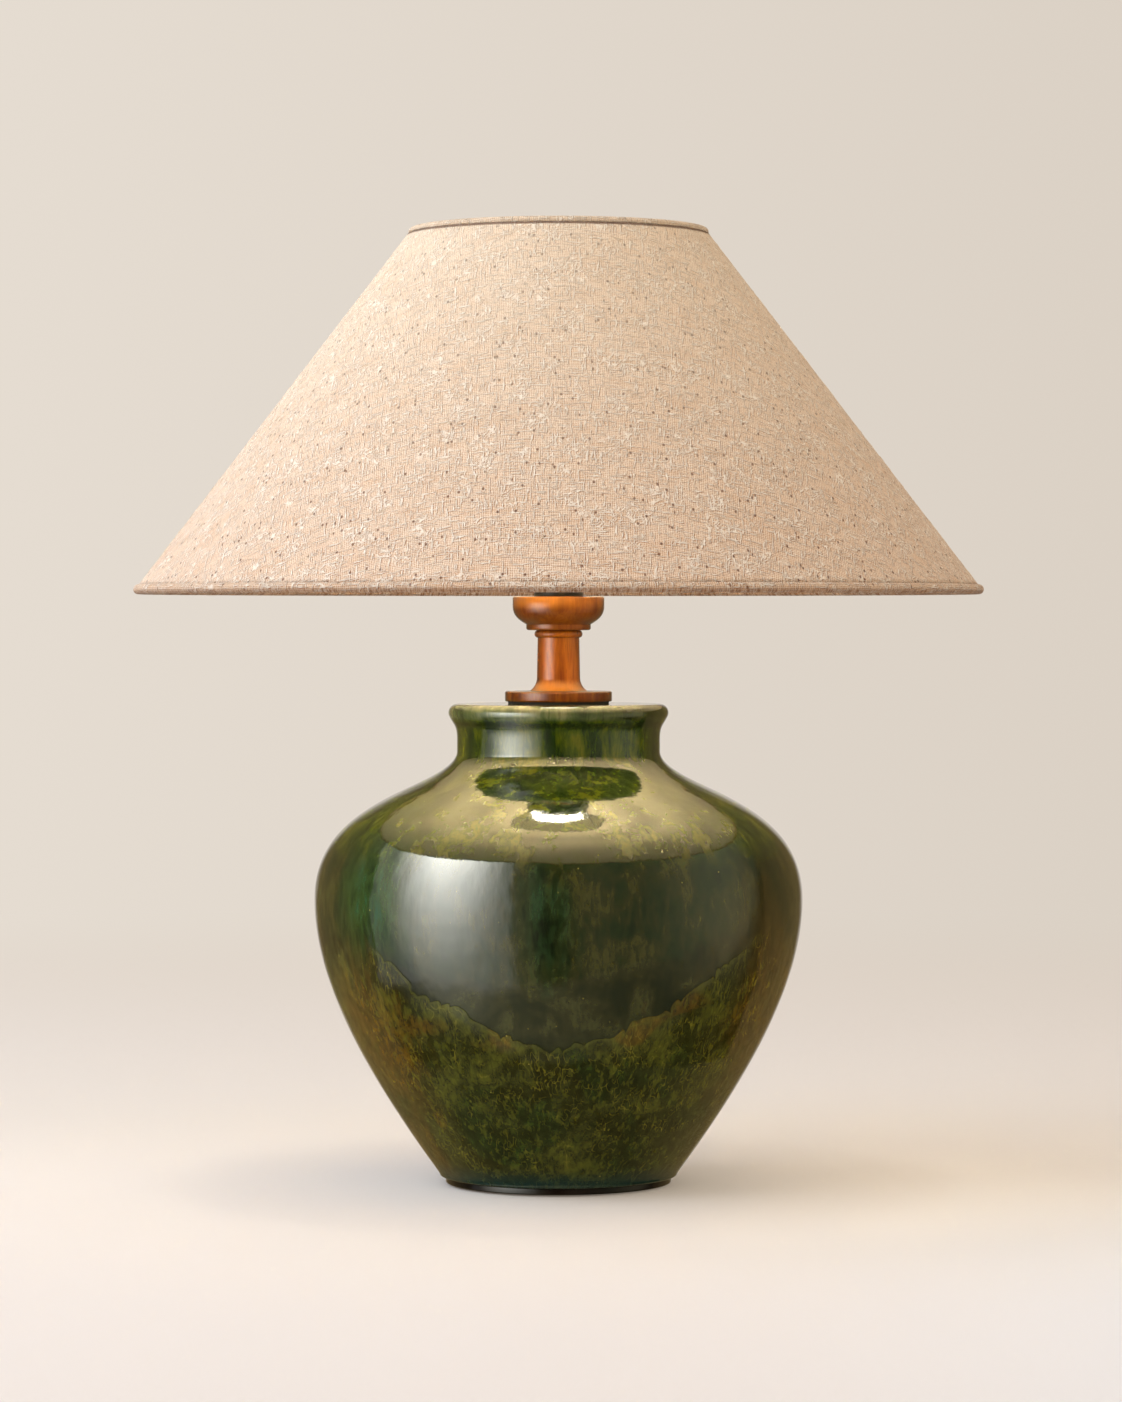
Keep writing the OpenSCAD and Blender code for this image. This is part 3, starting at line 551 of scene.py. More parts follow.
def inner_wall(profile, wall):
    """The profile moved by the wall's thickness square to itself, towards the axis."""
    step = np.gradient(profile, axis=0)
    step /= np.linalg.norm(step, axis=1, keepdims=True)
    return profile + wall * np.stack([-step[:, 1], step[:, 0]], axis=1)


outer = np.concatenate([bezier(low_side, 60)[1:], bezier(high_side, 40)[1:],
    bezier(into_neck, 34)[1:]])
inner = inner_wall(outer, urn_wall)
inner = inner[inner[:, 1] > floor_t][::4]
rim = np.concatenate([bezier(flare, 14), arc(roll_centre, rim_roll, roll_at, 90, 22)[1:]])
deck_radii = np.linspace(roll_centre[0], rod_hole_r, 8)[1:]
deck = np.stack([deck_radii, np.full(len(deck_radii), urn_h)], axis=1)
under_deck = urn_h - deck_t
foot_edge = arc([foot_r - foot_round, foot_round], foot_round, -90, 0, 8)
urn_profile = np.concatenate([[[foot_open_r, 0]], foot_edge, outer, rim, deck,
    [[rod_hole_r, under_deck], [inner[-1, 0], under_deck]], inner[::-1],
    [[inner[0, 0], floor_t], [foot_open_r, floor_t]]])
urn_profile = urn_profile + [0, urn_z]
print("profile points", len(urn_profile))

# %% Urn mesh, closed in both directions
urn_mesh = grid_mesh("glazed_urn", revolve(urn_profile, 240), closed=(True, True))
finish_mesh(urn_mesh, 50)

# %% [markdown]
# ### The green glaze
#
# The glaze is a deep, clear green over darker clay. It was poured over the urn in
# three broad laps that run down in rounded edges, so the upper part is dark and
# smooth and the lower part keeps a mossy layer with fine upright strokes. Patches
# of amber, brown and brighter green break it up, and it turns yellower on the
# shoulder and the neck. All of it is worked out from Object coordinates, so it has
# no seam.

# %% Glaze colours
bottle = screen(22, 30, 15)
deep_green = screen(36, 50, 22)
fern = screen(54, 84, 30)
moss = screen(88, 90, 34)
olive = screen(70, 66, 22)
dark_olive = screen(46, 46, 16)
straw = screen(150, 142, 52)
amber = screen(124, 88, 26)
umber = screen(38, 34, 13)
russet = screen(70, 54, 20)

# %% Glaze coordinates and noises
glaze, n, place = start_material("green_glaze")
at = n.axes(place)
height = n.math("SUBTRACT", at["Z"], float(urn_z))
turn = n.math("ARCTAN2", at["X"], n.times(at["Y"], -1.0))
runs = n.noise(n.stretch(place, (1, 1, 0.14)), 90.0, 6.0, 0.62, 0.5)
fine_runs = n.noise(n.stretch(place, (1, 1, 0.1)), 330.0, 4.0, 0.6, 0.3)
blots = n.noise(place, 42.0, 6.0, 0.62, 0.4)
touches = n.noise(n.stretch(place, (1, 1, 0.35)), 260.0, 5.0, 0.62, 0.4)
patches = n.noise(n.shift(place, (0.4, 0.1, 0.2)), 14.0, 4.0, 0.5, 1.2)

# %% Poured laps
lap_count = 3
lap_low, lap_rise = 76 * MM, 70 * MM
second_low, second_rise, second_start = 110 * MM, 24 * MM, -0.12
scallops, scallop_depth = 26.0, 3.4 * MM


def lap_place(start):
    """Where a point lies across its lap, from -1 to 1, with the first lap's middle at start."""
    share = n.math("ADD", n.math("DIVIDE", turn, 2 * np.pi / lap_count), 0.5 - start)
    return n.times(n.math("SUBTRACT", n.math("FRACT", share), 0.5), 2.0)


def over_lap(low, rise, start):
    """Height over a poured edge. The edge is at low + rise |s|^1.5, where s is the place
    across the lap, with scallops and a slow wander."""
    s = n.math("ABSOLUTE", lap_place(start))
    wander = n.noise(place, 45.0, 1.0)
    wave = n.math("SINE", n.blend((turn, scallops), (wander, 15.0)))
    edge = n.blend((n.math("POWER", s, 1.5), rise), (wander, 16 * MM),
        (n.math("ABSOLUTE", wave), scallop_depth))
    return n.math("SUBTRACT", height, n.math("ADD", edge, low - 10 * MM))


over_edge = over_lap(lap_low, lap_rise, 0.0)
lap_side = n.band(n.math("ABSOLUTE", lap_place(0.0)), 0.66, 0.92)
lap_middle = n.less(lap_side)
sharp_part = n.times(n.band(over_edge, -0.3 * MM, 0.5 * MM), lap_middle)
soft_edge = n.band(n.blend((height, 1.0), (runs, 60 * MM)), 130 * MM, 175 * MM)
poured = n.math("ADD", sharp_part, n.times(soft_edge, lap_side))
pooled = n.times(sharp_part, n.less(n.band(over_edge, 0.6 * MM, 9 * MM)))
lip = n.times(lap_middle, n.less(n.band(n.math("ABSOLUTE", n.math("ADD", over_edge, 1.6 * MM)),
    0.2 * MM, 2.2 * MM)))
second_pour = n.band(over_lap(second_low, second_rise, second_start), -1 * MM, 2.5 * MM)

# %% Strokes and tufts of the mossy lower layer
strayed = n.shift(place, n.scaled(n.add("TexNoise", {"Vector": place,
    "Scale": 90.0}).outputs["Color"], 3.5 * MM))


def strokes(scale, offset, width):
    """Fine upright lines: where a stretched noise crosses its middle value."""
    field = n.noise(n.stretch(n.shift(strayed, offset), (1, 1, 0.12)), scale, 1.0, 0.4)
    return n.less(n.band(n.math("ABSOLUTE", n.math("SUBTRACT", field, 0.5)), width * 0.3, width))


tufts = n.band(n.noise(place, 62.0, 3.0, 0.6), 0.44, 0.6)
blades = n.band(n.noise(n.stretch(strayed, (1, 1, 0.14)), 320.0, 3.0, 0.6), 0.52, 0.66)
pale_strokes = n.times(strokes(340.0, (0.3, 0, 0), 0.022), tufts)
dark_strokes = strokes(280.0, (0, 0.5, 0), 0.024)

# %% Patches that the photograph shows at certain places
def patch(centre, radius, tall=1.0):
    """1 near centre and 0 past radius, with an edge that the runs make ragged."""
    x, y, z = centre
    gap = n.distance(n.stretch(place, (1, 1, 1 / tall)), (x, y, z / tall))
    return n.less(n.band(n.blend((gap, 1.0), (runs, radius * 1.4)), radius, radius * 1.75))


amber_places = n.math("MAXIMUM", patch((-0.092, -0.055, 0.085), 0.045, 1.3),
    patch((0.112, -0.045, 0.1), 0.05, 1.6))
amber_places = n.math("MAXIMUM", amber_places, n.times(n.less(n.band(patches, 0.36, 0.45)), 0.8))
brown_place = patch((0.1, -0.075, 0.12), 0.05, 1.2)
green_place = patch((-0.098, -0.084, 0.158), 0.036, 1.4)
front_place = patch((-0.006, -0.129, 0.146), 0.02, 2.2)

# %% Lower layer: moss, amber, and upright strokes
lower = n.ramp(n.blend((blots, 0.65), (touches, 0.35)), [(0.3, umber), (0.43, dark_olive),
    (0.52, screen(62, 64, 28)), (0.62, moss), (0.72, olive)])
lower = n.coats(lower, [
    (n.band(patches, 0.5, 0.64), 0.55, n.ramp(touches, [(0.3, bottle), (0.5, deep_green),
        (0.7, fern)])),
    (amber_places, 0.62, n.ramp(touches, [(0.35, russet), (0.65, amber)])),
    # Painted shade: the lower layer is darker on its right side.
    (n.band(at["X"], 0.0, 0.06), 0.25, dark_olive),
    (blades, 0.4, screen(102, 104, 38)),
    (dark_strokes, 0.35, bottle),
    (pale_strokes, 0.4, straw)])

# %% Poured layer: dark green, with runs and brighter places
upper = n.ramp(n.blend((runs, 0.25), (blots, 0.6), (touches, 0.15)), [(0.38, bottle),
    (0.45, screen(32, 36, 15)), (0.51, screen(48, 48, 23)), (0.58, screen(67, 69, 37)),
    (0.66, screen(54, 38, 12))])
deep_runs = n.ramp(n.blend((runs, 0.3), (blots, 0.4), (touches, 0.3)), [(0.38, bottle),
    (0.46, screen(30, 44, 20)), (0.52, screen(48, 50, 22)), (0.58, screen(66, 66, 30)),
    (0.66, screen(46, 68, 34))])
shoulder_green = n.ramp(n.blend((runs, 0.5), (touches, 0.5)), [(0.4, screen(26, 48, 24)),
    (0.52, screen(50, 76, 32)), (0.64, screen(40, 84, 58))])
front_green = n.ramp(n.blend((touches, 0.6), (blots, 0.4)), [(0.42, bottle),
    (0.5, screen(32, 54, 26)), (0.6, screen(34, 70, 44))])
upper = n.coats(upper, [(second_pour, 1.0, deep_runs), (brown_place, 0.6, russet),
    (green_place, 0.9, shoulder_green), (front_place, 0.7, front_green)])

# %% Both layers, then pooled edges, neck, rim, foot and specks
neck_colour = n.ramp(n.blend((runs, 0.7), (touches, 0.3)), [(0.36, bottle),
    (0.45, screen(38, 60, 16)), (0.53, screen(72, 88, 12)), (0.6, screen(106, 110, 20)),
    (0.7, screen(58, 94, 22))])
# The rim's pale tones are partly its own glaze and partly a painted reflection of the shade's
# lit inside.
rim_colour_and_painted_light = n.ramp(n.blend((runs, 0.5), (blots, 0.5)), [(0.38, screen(44, 60, 30)),
    (0.5, screen(98, 112, 68)), (0.62, screen(150, 150, 108))])
# Painted shade: the rim is darker towards its right.
rim_colour_and_painted_light = n.coats(rim_colour_and_painted_light, [(n.band(turn, -0.1, 0.8), 0.85, screen(50, 52, 18))])
specks = n.less(n.band(n.cells(place, 330.0), 0.05, 0.12))
sparks = n.times(n.less(n.band(n.cells(n.shift(place, (0.7, 0, 0)), 120.0), 0.03, 0.06)), tufts)
body_colour = n.coats(n.mix(poured, lower, upper), [
    (pooled, 0.5, bottle),
    (lip, 0.35, moss),
    (n.band(height, 166 * MM, 190 * MM), 0.85, neck_colour),
    # Painted shade in a band under the rim's roll.
    (n.hill(height, 236.5 * MM, 239.8 * MM, 241.6 * MM), 0.7, bottle),
    (n.band(height, 241 * MM, 243.5 * MM), 0.85, rim_colour_and_painted_light),
    (n.less(n.band(height, 2 * MM, 12 * MM)), 0.7, screen(20, 52, 52)),
    (n.band(fine_runs, 0.55, 0.7), 0.35, bottle),
    (specks, 0.4, umber),
    (sparks, 0.6, screen(190, 178, 90))])

# %% Glaze surface
waves = n.noise(place, 34.0, 2.0, 0.5)
ripple = n.noise(n.stretch(place, (1, 1, 0.4)), 150.0, 3.0, 0.5)
relief = n.blend((waves, 1.0), (ripple, 0.2), (poured, 0.2), (fine_runs, 0.03))
end_material(n, {"Base Color": body_colour, "IOR": 1.8,
    "Roughness": n.spread(blots, 0.02, 0.12),
    "Normal": n.bump(relief, 1.4 * MM, 0.35)})

# %% Place the urn and cut the cord's hole
urn = place_piece(urn_mesh, glaze, "base")
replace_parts(urn, "urn")
outlet_share = 0.11
outlet = bezier_at(low_side, outlet_share)
legs = np.diff(np.asarray(low_side, float), axis=0)
heading = ((1 - outlet_share) ** 2 * legs[0] + 2 * (1 - outlet_share) * outlet_share * legs[1]
    + outlet_share ** 2 * legs[2])
heading /= np.linalg.norm(heading)
outlet_axis = np.array([0, heading[1], -heading[0]])
outlet_at = np.array([0, outlet[0], urn_z + outlet[1]])


def rod_points(start, end, radius, spokes=48):
    """A closed round rod from start to end: both ends run in to the axis."""
    start, end = np.asarray(start, float), np.asarray(end, float)
    axis = (end - start) / np.linalg.norm(end - start)
    side = np.cross(axis, [1, 0, 0]) if abs(axis[0]) < 0.9 else np.cross(axis, [0, 1, 0])
    side /= np.linalg.norm(side)
    up = np.cross(axis, side)
    a = np.linspace(0, 2 * np.pi, spokes, endpoint=False)[:, None]
    ring = np.cos(a) * side + np.sin(a) * up
    return np.stack([start + 0 * ring, start + radius * ring, end + radius * ring,
        end + 0 * ring])


# Each cutter's name, its ends along the hole from the outside of the urn, and its radius.
cutters = (("cord_hole", -18 * MM, 12 * MM, 5.15 * MM),
    ("spot_face", -0.7 * MM, 6 * MM, 7.15 * MM))
for cutter_name, start, end, cutter_r in cutters:
    cutter_mesh = grid_mesh(cutter_name, rod_points(outlet_at + start * outlet_axis,
        outlet_at + end * outlet_axis, cutter_r))
    finish_mesh(cutter_mesh)
    cutter = add_object(cutter_name, cutter_mesh)
    cut = urn.modifiers.new(cutter_name, "BOOLEAN")
    cut.operation = "DIFFERENCE"
    cut.solver = "EXACT"
    cut.object = cutter
    bpy.context.view_layer.update()
    graph = bpy.context.evaluated_depsgraph_get()
    cut_mesh = bpy.data.meshes.new_from_object(urn.evaluated_get(graph))
    urn.modifiers.clear()
    urn.data = cut_mesh
    bpy.data.objects.remove(cutter)
urn.data.name = "glazed_urn"
print("urn faces after the cuts", len(urn.data.polygons))

# %% [markdown]
# ## The dark base plate and its felt
#
# A flat enamelled plate closes the urn's foot and shows as a thin dark crescent.
# Its edge is rounded, not sharp, so that it catches a fine line of light. The felt
# under it is a cut disc of cloth.

# %% Plate profile
plate_low, plate_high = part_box("base_plate")
felt_low, felt_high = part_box("base_felt")
plate_r = plate_high[0]
plate_z = plate_low[2]
plate_top = urn_z
edge_round = 0.7 * MM
spigot_r, spigot_wall = 48.6 * MM, 4 * MM
spigot_top = plate_top + 4.5 * MM
boss_r, boss_top = 20 * MM, plate_high[2]
pocket_r, pocket_top = 10.48 * MM, plate_z + 7.5 * MM
plate_profile = np.concatenate([
    [[pocket_r, plate_z]],
    arc([plate_r - edge_round, plate_z + edge_round], edge_round, -90, 0, 6),
    arc([plate_r - edge_round, plate_top - edge_round], edge_round, 0, 90, 6),
    [[spigot_r, plate_top], [spigot_r, spigot_top], [spigot_r - spigot_wall, spigot_top],
    [spigot_r - spigot_wall, plate_top], [boss_r, plate_top], [boss_r, boss_top],
    [rod_hole_r, boss_top], [rod_hole_r, pocket_top], [pocket_r, pocket_top]]])

# %% Black enamel
enamel, n, place = start_material("black_enamel")
uneven = n.group(fine_unevenness, {"Place": place, "Scale": 420.0, "Roughness": 0.16,
    "Spread": 0.08})
dust = n.group(settled_dust, {"Place": place, "Amount": 0.12})
tint = n.noise(n.stretch(place, (1, 1, 4)), 60.0, 4.0)
enamel_colour = n.ramp(tint, [(0.35, screen(16, 12, 10)), (0.65, screen(34, 25, 19))])
enamel_colour = n.mix(dust["Mask"], enamel_colour, screen(120, 112, 100))
end_material(n, {"Base Color": enamel_colour, "Roughness": uneven["Roughness"],
    "Specular IOR Level": 0.3, "Coat Weight": 0.2, "Coat Roughness": 0.06,
    "Normal": n.bump(uneven["Height"], 0.15 * MM, 0.4)})

# %% Place the plate
plate_mesh = grid_mesh("enamelled_plate", revolve(plate_profile, 192), closed=(True, True))
finish_mesh(plate_mesh, 35)
plate = place_piece(plate_mesh, enamel, "base")
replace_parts(plate, "base_plate")

# %% Felt disc
felt, n, place = start_material("dark_felt")
hairs = n.noise(place, 1500.0, 5.0, 0.7, 1.5)
felt_colour = n.ramp(hairs, [(0.3, screen(34, 38, 34)), (0.7, screen(74, 78, 70))])
end_material(n, {"Base Color": felt_colour, "Roughness": n.spread(hairs, 0.85, 1.0),
    "Sheen Weight": 0.4, "Normal": n.bump(hairs, 0.4 * MM, 0.8)})
felt_r = felt_high[0]
felt_t = felt_high[2] - felt_low[2]
felt_points = disc_points(np.r_[0, np.linspace(4 * MM, felt_r, 16)], 144, felt_t)
felt_mesh = grid_mesh("felt_disc", felt_points)
finish_mesh(felt_mesh)
felt_piece = place_piece(felt_mesh, felt, "base")
thicken(felt_piece, felt_t)
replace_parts(felt_piece, "base_felt")

# %% [markdown]
# ## Turned wood
#
# Neck and cup are turned from one warm brown wood under clear lacquer. The grain
# runs up the column, with darker pores and a few small knots, and the lacquer
# gives sharp highlights while the wood under it stays soft.

# %% Heights on the wood that get painted shade and painted light
wood, n, place = start_material("lacquered_wood")
at = n.axes(place)
cup_low, cup_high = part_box("wood_cup")
neck_low_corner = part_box("wood_neck")[0]
cup_bottom, cup_top = float(cup_low[2]), float(cup_high[2])
neck_bottom = float(neck_low_corner[2])
cove_low = neck_bottom + 5.4 * MM
bowl_painted_shade = n.times(n.band(at["Z"], cup_bottom - 1 * MM, cup_bottom + 1 * MM),
    n.band(at["Z"], cup_top - 1 * MM, cup_top - 8 * MM))
flange_painted_shade = n.less(n.band(at["Z"], neck_bottom + 5 * MM, neck_bottom + 7 * MM))
cup_top_painted_highlight = n.times(n.band(at["Z"], cup_top - 8 * MM, cup_top - 3 * MM),
    n.spread(n.band(at["X"], -8 * MM, 16 * MM), 0.5, 0.1))
cove_painted_light_and_dull_coat = n.times(n.band(at["Z"], cove_low, cove_low + 0.5 * MM),
    n.band(at["Z"], cove_low + 7 * MM, cove_low + 2 * MM))

# %% Lacquered wood
bent = n.shift(place, (0.013, 0.021, 0.0))
rings = n.noise(n.stretch(bent, (1, 1, 0.12)), 150.0, 5.0, 0.6, 0.8)
pores = n.noise(n.stretch(bent, (1, 1, 0.06)), 1500.0, 3.0, 0.6)
pore_mask = n.times(n.band(pores, 0.58, 0.7), 0.35)
mottle = n.noise(n.stretch(place, (1, 1, 0.5)), 75.0, 4.0, 0.6, 1.0)
knots = n.less(n.band(n.cells(n.stretch(place, (1, 1, 0.7)), 130.0), 0.07, 0.17))
edge_on_painted_shade = n.math("POWER", n.add("LayerWeight", {"Blend": 0.5}).outputs["Facing"], 1.4)
wood_colour = n.ramp(rings, [(0.3, screen(146, 72, 10)), (0.45, screen(182, 96, 14)),
    (0.54, screen(204, 116, 24)), (0.64, screen(178, 92, 12)), (0.74, screen(216, 130, 34))])
wood_colour = n.coats(wood_colour, [
    (n.band(mottle, 0.5, 0.72), 0.4, screen(118, 56, 8)),
    (pore_mask, 1.0, screen(84, 40, 12)),
    (knots, 0.7, screen(62, 30, 10)),
    # Painted shade on the lower bowl and on the flange.
    (n.math("MAXIMUM", bowl_painted_shade, flange_painted_shade), 0.55, screen(80, 32, 2)),
    # A painted highlight near the cup's top, stronger on its left.
    (cup_top_painted_highlight, 1.0, screen(255, 164, 60)),
    # Painted light in the cove, where the lacquer coat is also duller.
    (cove_painted_light_and_dull_coat, 0.8, screen(240, 158, 66)),
    # Painted shade where the wood is seen edge-on.
    (edge_on_painted_shade, 1.0, screen(66, 26, 4))])
turned = n.group(tool_marks, {"Place": place, "Stretch": (1, 1, 9)})
wood_relief = n.blend((turned["Height"], 1.0), (pore_mask, -0.6))
end_material(n, {"Base Color": wood_colour, "Roughness": n.spread(rings, 0.3, 0.48),
    "Specular IOR Level": 0.1, "Coat Weight": n.spread(cove_painted_light_and_dull_coat, 1.0, 0.25),
    "Coat Roughness": 0.11, "Coat IOR": 1.47, "Normal": n.bump(wood_relief, 0.18 * MM, 0.35)})

# %% Neck profile: flange, cove, column and bead
flange_z = neck_low_corner[2]
flange_r, flange_t, flange_round = 28.5 * MM, 5.6 * MM, 1 * MM
column_r, column_top_r, cove_h, cove_w = 11.5 * MM, 11.1 * MM, 7.2 * MM, 4.2 * MM
wood_neck_h, bead_h, bead_out = 37.9 * MM, 4 * MM, 1.7 * MM
tenon_r, tenon_h = 8.2 * MM, 4 * MM
column_h = wood_neck_h - bead_h
cove = bezier([[column_r + cove_w, flange_t], [column_r + cove_w / 2, flange_t + cove_h / 8],
    [column_r, flange_t + cove_h / 2], [column_r, flange_t + cove_h]], 16)
column = np.stack([np.linspace(column_r, column_top_r, 14), np.linspace(flange_t + cove_h,
    column_h, 14)], axis=1)[1:-1]
bead_turn = np.radians(np.linspace(-90, 90, 17))
bead = np.stack([column_top_r + bead_out * np.cos(bead_turn),
    column_h + bead_h / 2 * (1 + np.sin(bead_turn))], axis=1)
edge_r = flange_r - flange_round
neck_profile = np.concatenate([[[rod_hole_r, 0]],
    arc([edge_r, flange_round], flange_round, -90, 0, 7),
    arc([edge_r, flange_t - flange_round], flange_round, 0, 90, 7),
    cove, column, bead, [[tenon_r, wood_neck_h], [tenon_r, wood_neck_h + tenon_h],
    [rod_hole_r, wood_neck_h + tenon_h]]]) + [0, flange_z]

# %% Cup profile: lip and bowl
cup_z, cup_r = cup_low[2], cup_high[0]
cup_h = cup_high[2] - cup_low[2]
lip_r, lip_h, cup_side_h, cup_round = 17.2 * MM, 3 * MM, 5.2 * MM, 0.9 * MM
pocket_wide, pocket_deep, seat_gap = 11 * MM, 6 * MM, 0.15 * MM
bowl_top = cup_h - cup_side_h
bowl_w, bowl_h = cup_r - lip_r, bowl_top - lip_h
bowl = bezier([[lip_r, lip_h], [lip_r + 0.4 * bowl_w, lip_h + 0.18 * bowl_h],
    [cup_r, lip_h + 0.42 * bowl_h], [cup_r, bowl_top]], 24)
lip_round = 0.4 * lip_h
tenon_room = tenon_r + seat_gap
cup_profile = np.concatenate([[[tenon_room, 0]],
    arc([lip_r - lip_round, lip_round], lip_round, -90, 0, 8), bowl,
    arc([cup_r - cup_round, cup_h - cup_round], cup_round, 0, 90, 8),
    [[pocket_wide, cup_h], [pocket_wide, cup_h - pocket_deep],
    [rod_hole_r, cup_h - pocket_deep], [rod_hole_r, tenon_h + seat_gap],
    [tenon_room, tenon_h + seat_gap]]]) + [0, cup_z]

# %% Place the wood
for name, profile, node in (("turned_neck", neck_profile, "wood_neck"),
        ("turned_cup", cup_profile, "wood_cup")):
    turned_mesh = grid_mesh(name, revolve(profile, 128), closed=(True, True))
    finish_mesh(turned_mesh, 35)
    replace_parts(place_piece(turned_mesh, wood, "base"), node)

# %% [markdown]
# ## Finishes for the pieces that keep their solids
#
# Screws, nuts, the lampholder and the wire frame have the right shape already.
# They only need a finish: moulded black plastic, rubber, brass, steel, ceramic,
# lacquered wire, and glass. The bulb is lit. Its glow is strong in mirrored rays,
# where the photograph has a white spot on the urn's shoulder, and weak to the eye,
# so that its parts can still be seen from below.

# %% Plastic, rubber and ceramic
def moulded(name, light, dark, roughness, coat=0.0, dusty=0.15):
    """A moulded or fired surface: two near tones, fine unevenness and a little dust."""
    material, n, place = start_material(name)
    uneven = n.group(fine_unevenness, {"Place": place, "Scale": 900.0,
        "Roughness": roughness, "Spread": 0.12})
    dust = n.group(settled_dust, {"Place": place, "Amount": dusty})
    colour = n.ramp(n.noise(place, 120.0, 4.0), [(0.35, dark), (0.65, light)])
    colour = n.mix(dust["Mask"], colour, screen(150, 142, 130))
    end_material(n, {"Base Color": colour, "Roughness": uneven["Roughness"],
        "Coat Weight": coat, "Normal": n.bump(uneven["Height"], 0.12 * MM, 0.35)})
    return material


holder_plastic = moulded("black_plastic", screen(34, 32, 31), screen(22, 21, 21), 0.34)
bush_plastic = moulded("bush_plastic", screen(46, 44, 42), screen(32, 31, 30), 0.5)
rubber = moulded("gasket_rubber", screen(44, 43, 42), screen(30, 30, 29), 0.8)
ceramic = moulded("white_ceramic", screen(232, 228, 216), screen(220, 214, 200), 0.3)
black_glass = moulded("insulator_glass", screen(26, 24, 30), screen(14, 13, 16), 0.1, 0.5)
wire_lacquer = moulded("wire_lacquer", screen(236, 231, 220), screen(222, 216, 203), 0.38,
    0.3, 0.3)

# %% Metals
def metal(name, light, dark, roughness, brushed):
    """Bare metal: two near tones, tool marks, and a duller bloom in places."""
    material, n, place = start_material(name)
    marks = n.group(tool_marks, {"Place": place, "Stretch": brushed})
    bloom = n.band(n.noise(place, 160.0, 4.0, 0.6), 0.45, 0.7)
    colour = n.mix(bloom, light, dark)
    rough = n.math("ADD", n.spread(marks["Height"], roughness * 0.7, roughness * 1.3),
        n.times(bloom, 0.12), True)
    end_material(n, {"Base Color": colour, "Metallic": 1.0, "Roughness": rough,
        "Normal": n.bump(marks["Height"], 0.05 * MM, 0.4)})
    return material


steel = metal("zinc_steel", screen(206, 205, 202), screen(160, 158, 152), 0.3, (1, 1, 8))
brass = metal("brass", screen(226, 190, 116), screen(176, 134, 70), 0.26, (1, 1, 8))
cap_metal = metal("cap_metal", screen(214, 214, 216), screen(180, 179, 178), 0.28, (1, 1, 14))

# %% Glass and light strips
bulb_glass, n, place = start_material("clear_glass")
smears = n.noise(place, 90.0, 4.0, 0.6)
in_gloss = n.add("LightPath").outputs["Is Glossy Ray"]
glass_colour = n.ramp(smears, [(0.3, screen(252, 250, 244)), (0.7, screen(244, 241, 232))])
faint_glow, full_glow = (0.02, 0.018, 0.012, 1.0), (1.0, 0.95, 0.84, 1.0)
end_material(n, {"Base Color": glass_colour, "Transmission Weight": 1.0, "IOR": 1.45,
    "Roughness": n.spread(smears, 0.0, 0.06), "Emission Strength": 10.0,
    "Emission Color": n.mix(in_gloss, faint_glow, full_glow)})
strip_glow, n, place = start_material("phosphor_strip")
beads = n.cells(place, 700.0)
end_material(n, {"Base Color": n.ramp(beads, [(0.1, screen(246, 206, 110)),
    (0.6, screen(226, 170, 70))]), "Roughness": n.spread(beads, 0.4, 0.7),
    "Normal": n.bump(beads, 0.3 * MM, 0.5)})

# %% Give the kept solids their finish
def dress(material, *names):
    for name in names:
        for material_slot in nodes[name].material_slots:
            material_slot.material = material


dress(holder_plastic, "holder_cap", "holder_skirt", "shade_ring", "switch_knob")
dress(bush_plastic, "cord_bush")
dress(rubber, "neck_gasket")
dress(ceramic, "holder_core", "switch_rotor")
dress(black_glass, "bulb_insulator")
dress(wire_lacquer, "shade_carrier", "bottom_ring")
dress(steel, "tie_rod", "bottom_washer", "clamp_washer", "grub_screw", "core_screws")
dress(brass, "bottom_nut", "clamp_nut", "rod_insert", "terminal_screws", "screw_shell",
    "centre_contact", "switch_spindle")
dress(cap_metal, "bulb_cap", "bulb_contact")
dress(bulb_glass, "bulb_glass", "bulb_stem")
dress(strip_glow, "bulb_strips")
for name in ("bulb_glass", "bulb_stem", "bulb_strips"):
    nodes[name].visible_shadow = False

# %% [markdown]
# ## The linen shade
#
# A cone shade is one flat piece of linen, cut as part of a ring and closed with an
# overlapped seam at the back. So its threads run straight in the flat piece and
# lean more and more against the cone's sides towards the back. The grid below
# keeps for each point its place on the flat cloth, and the weave is drawn there,
# in metres.

# %% Cone measures, from the two trims
shade_low, shade_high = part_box("bottom_trim")
top_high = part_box("top_trim")[1]
bottom_trim_r, top_trim_r, wire_r = 2.6 * MM, 2.2 * MM, 1.5 * MM
liner_t, linen_t, paste = 0.5 * MM, 0.7 * MM, 0.05 * MM
edge_back = wire_r + 0.4 * MM
bottom_wire = np.array([shade_high[0] - bottom_trim_r, shade_low[2] + bottom_trim_r])
top_wire = np.array([top_high[0] - top_trim_r, top_high[2] - top_trim_r])
slant_length = np.linalg.norm(top_wire - bottom_wire)
slant = (top_wire - bottom_wire) / slant_length
out = np.array([slant[1], -slant[0]])
lean_share = -slant[0]
tip_distance = bottom_wire[0] / lean_share
print("slant", round(slant_length, 4), "flat angle", round(360 * lean_share, 1))

# %% Points of a cone and of its flat cloth
seam_half = 7 * MM


def shade_turns(columns, radius):
    """Angles round the shade from the back seam, closer together near the seam."""
    even = np.linspace(0, 2 * np.pi, columns, endpoint=False)
    near = np.linspace(-1, 1, 25) * 1.3 * seam_half / radius
    from_seam = np.abs((even + np.pi) % (2 * np.pi) - np.pi)
    return np.unique(np.r_[even[from_seam > 1.4 * seam_half / radius], near % (2 * np.pi)])


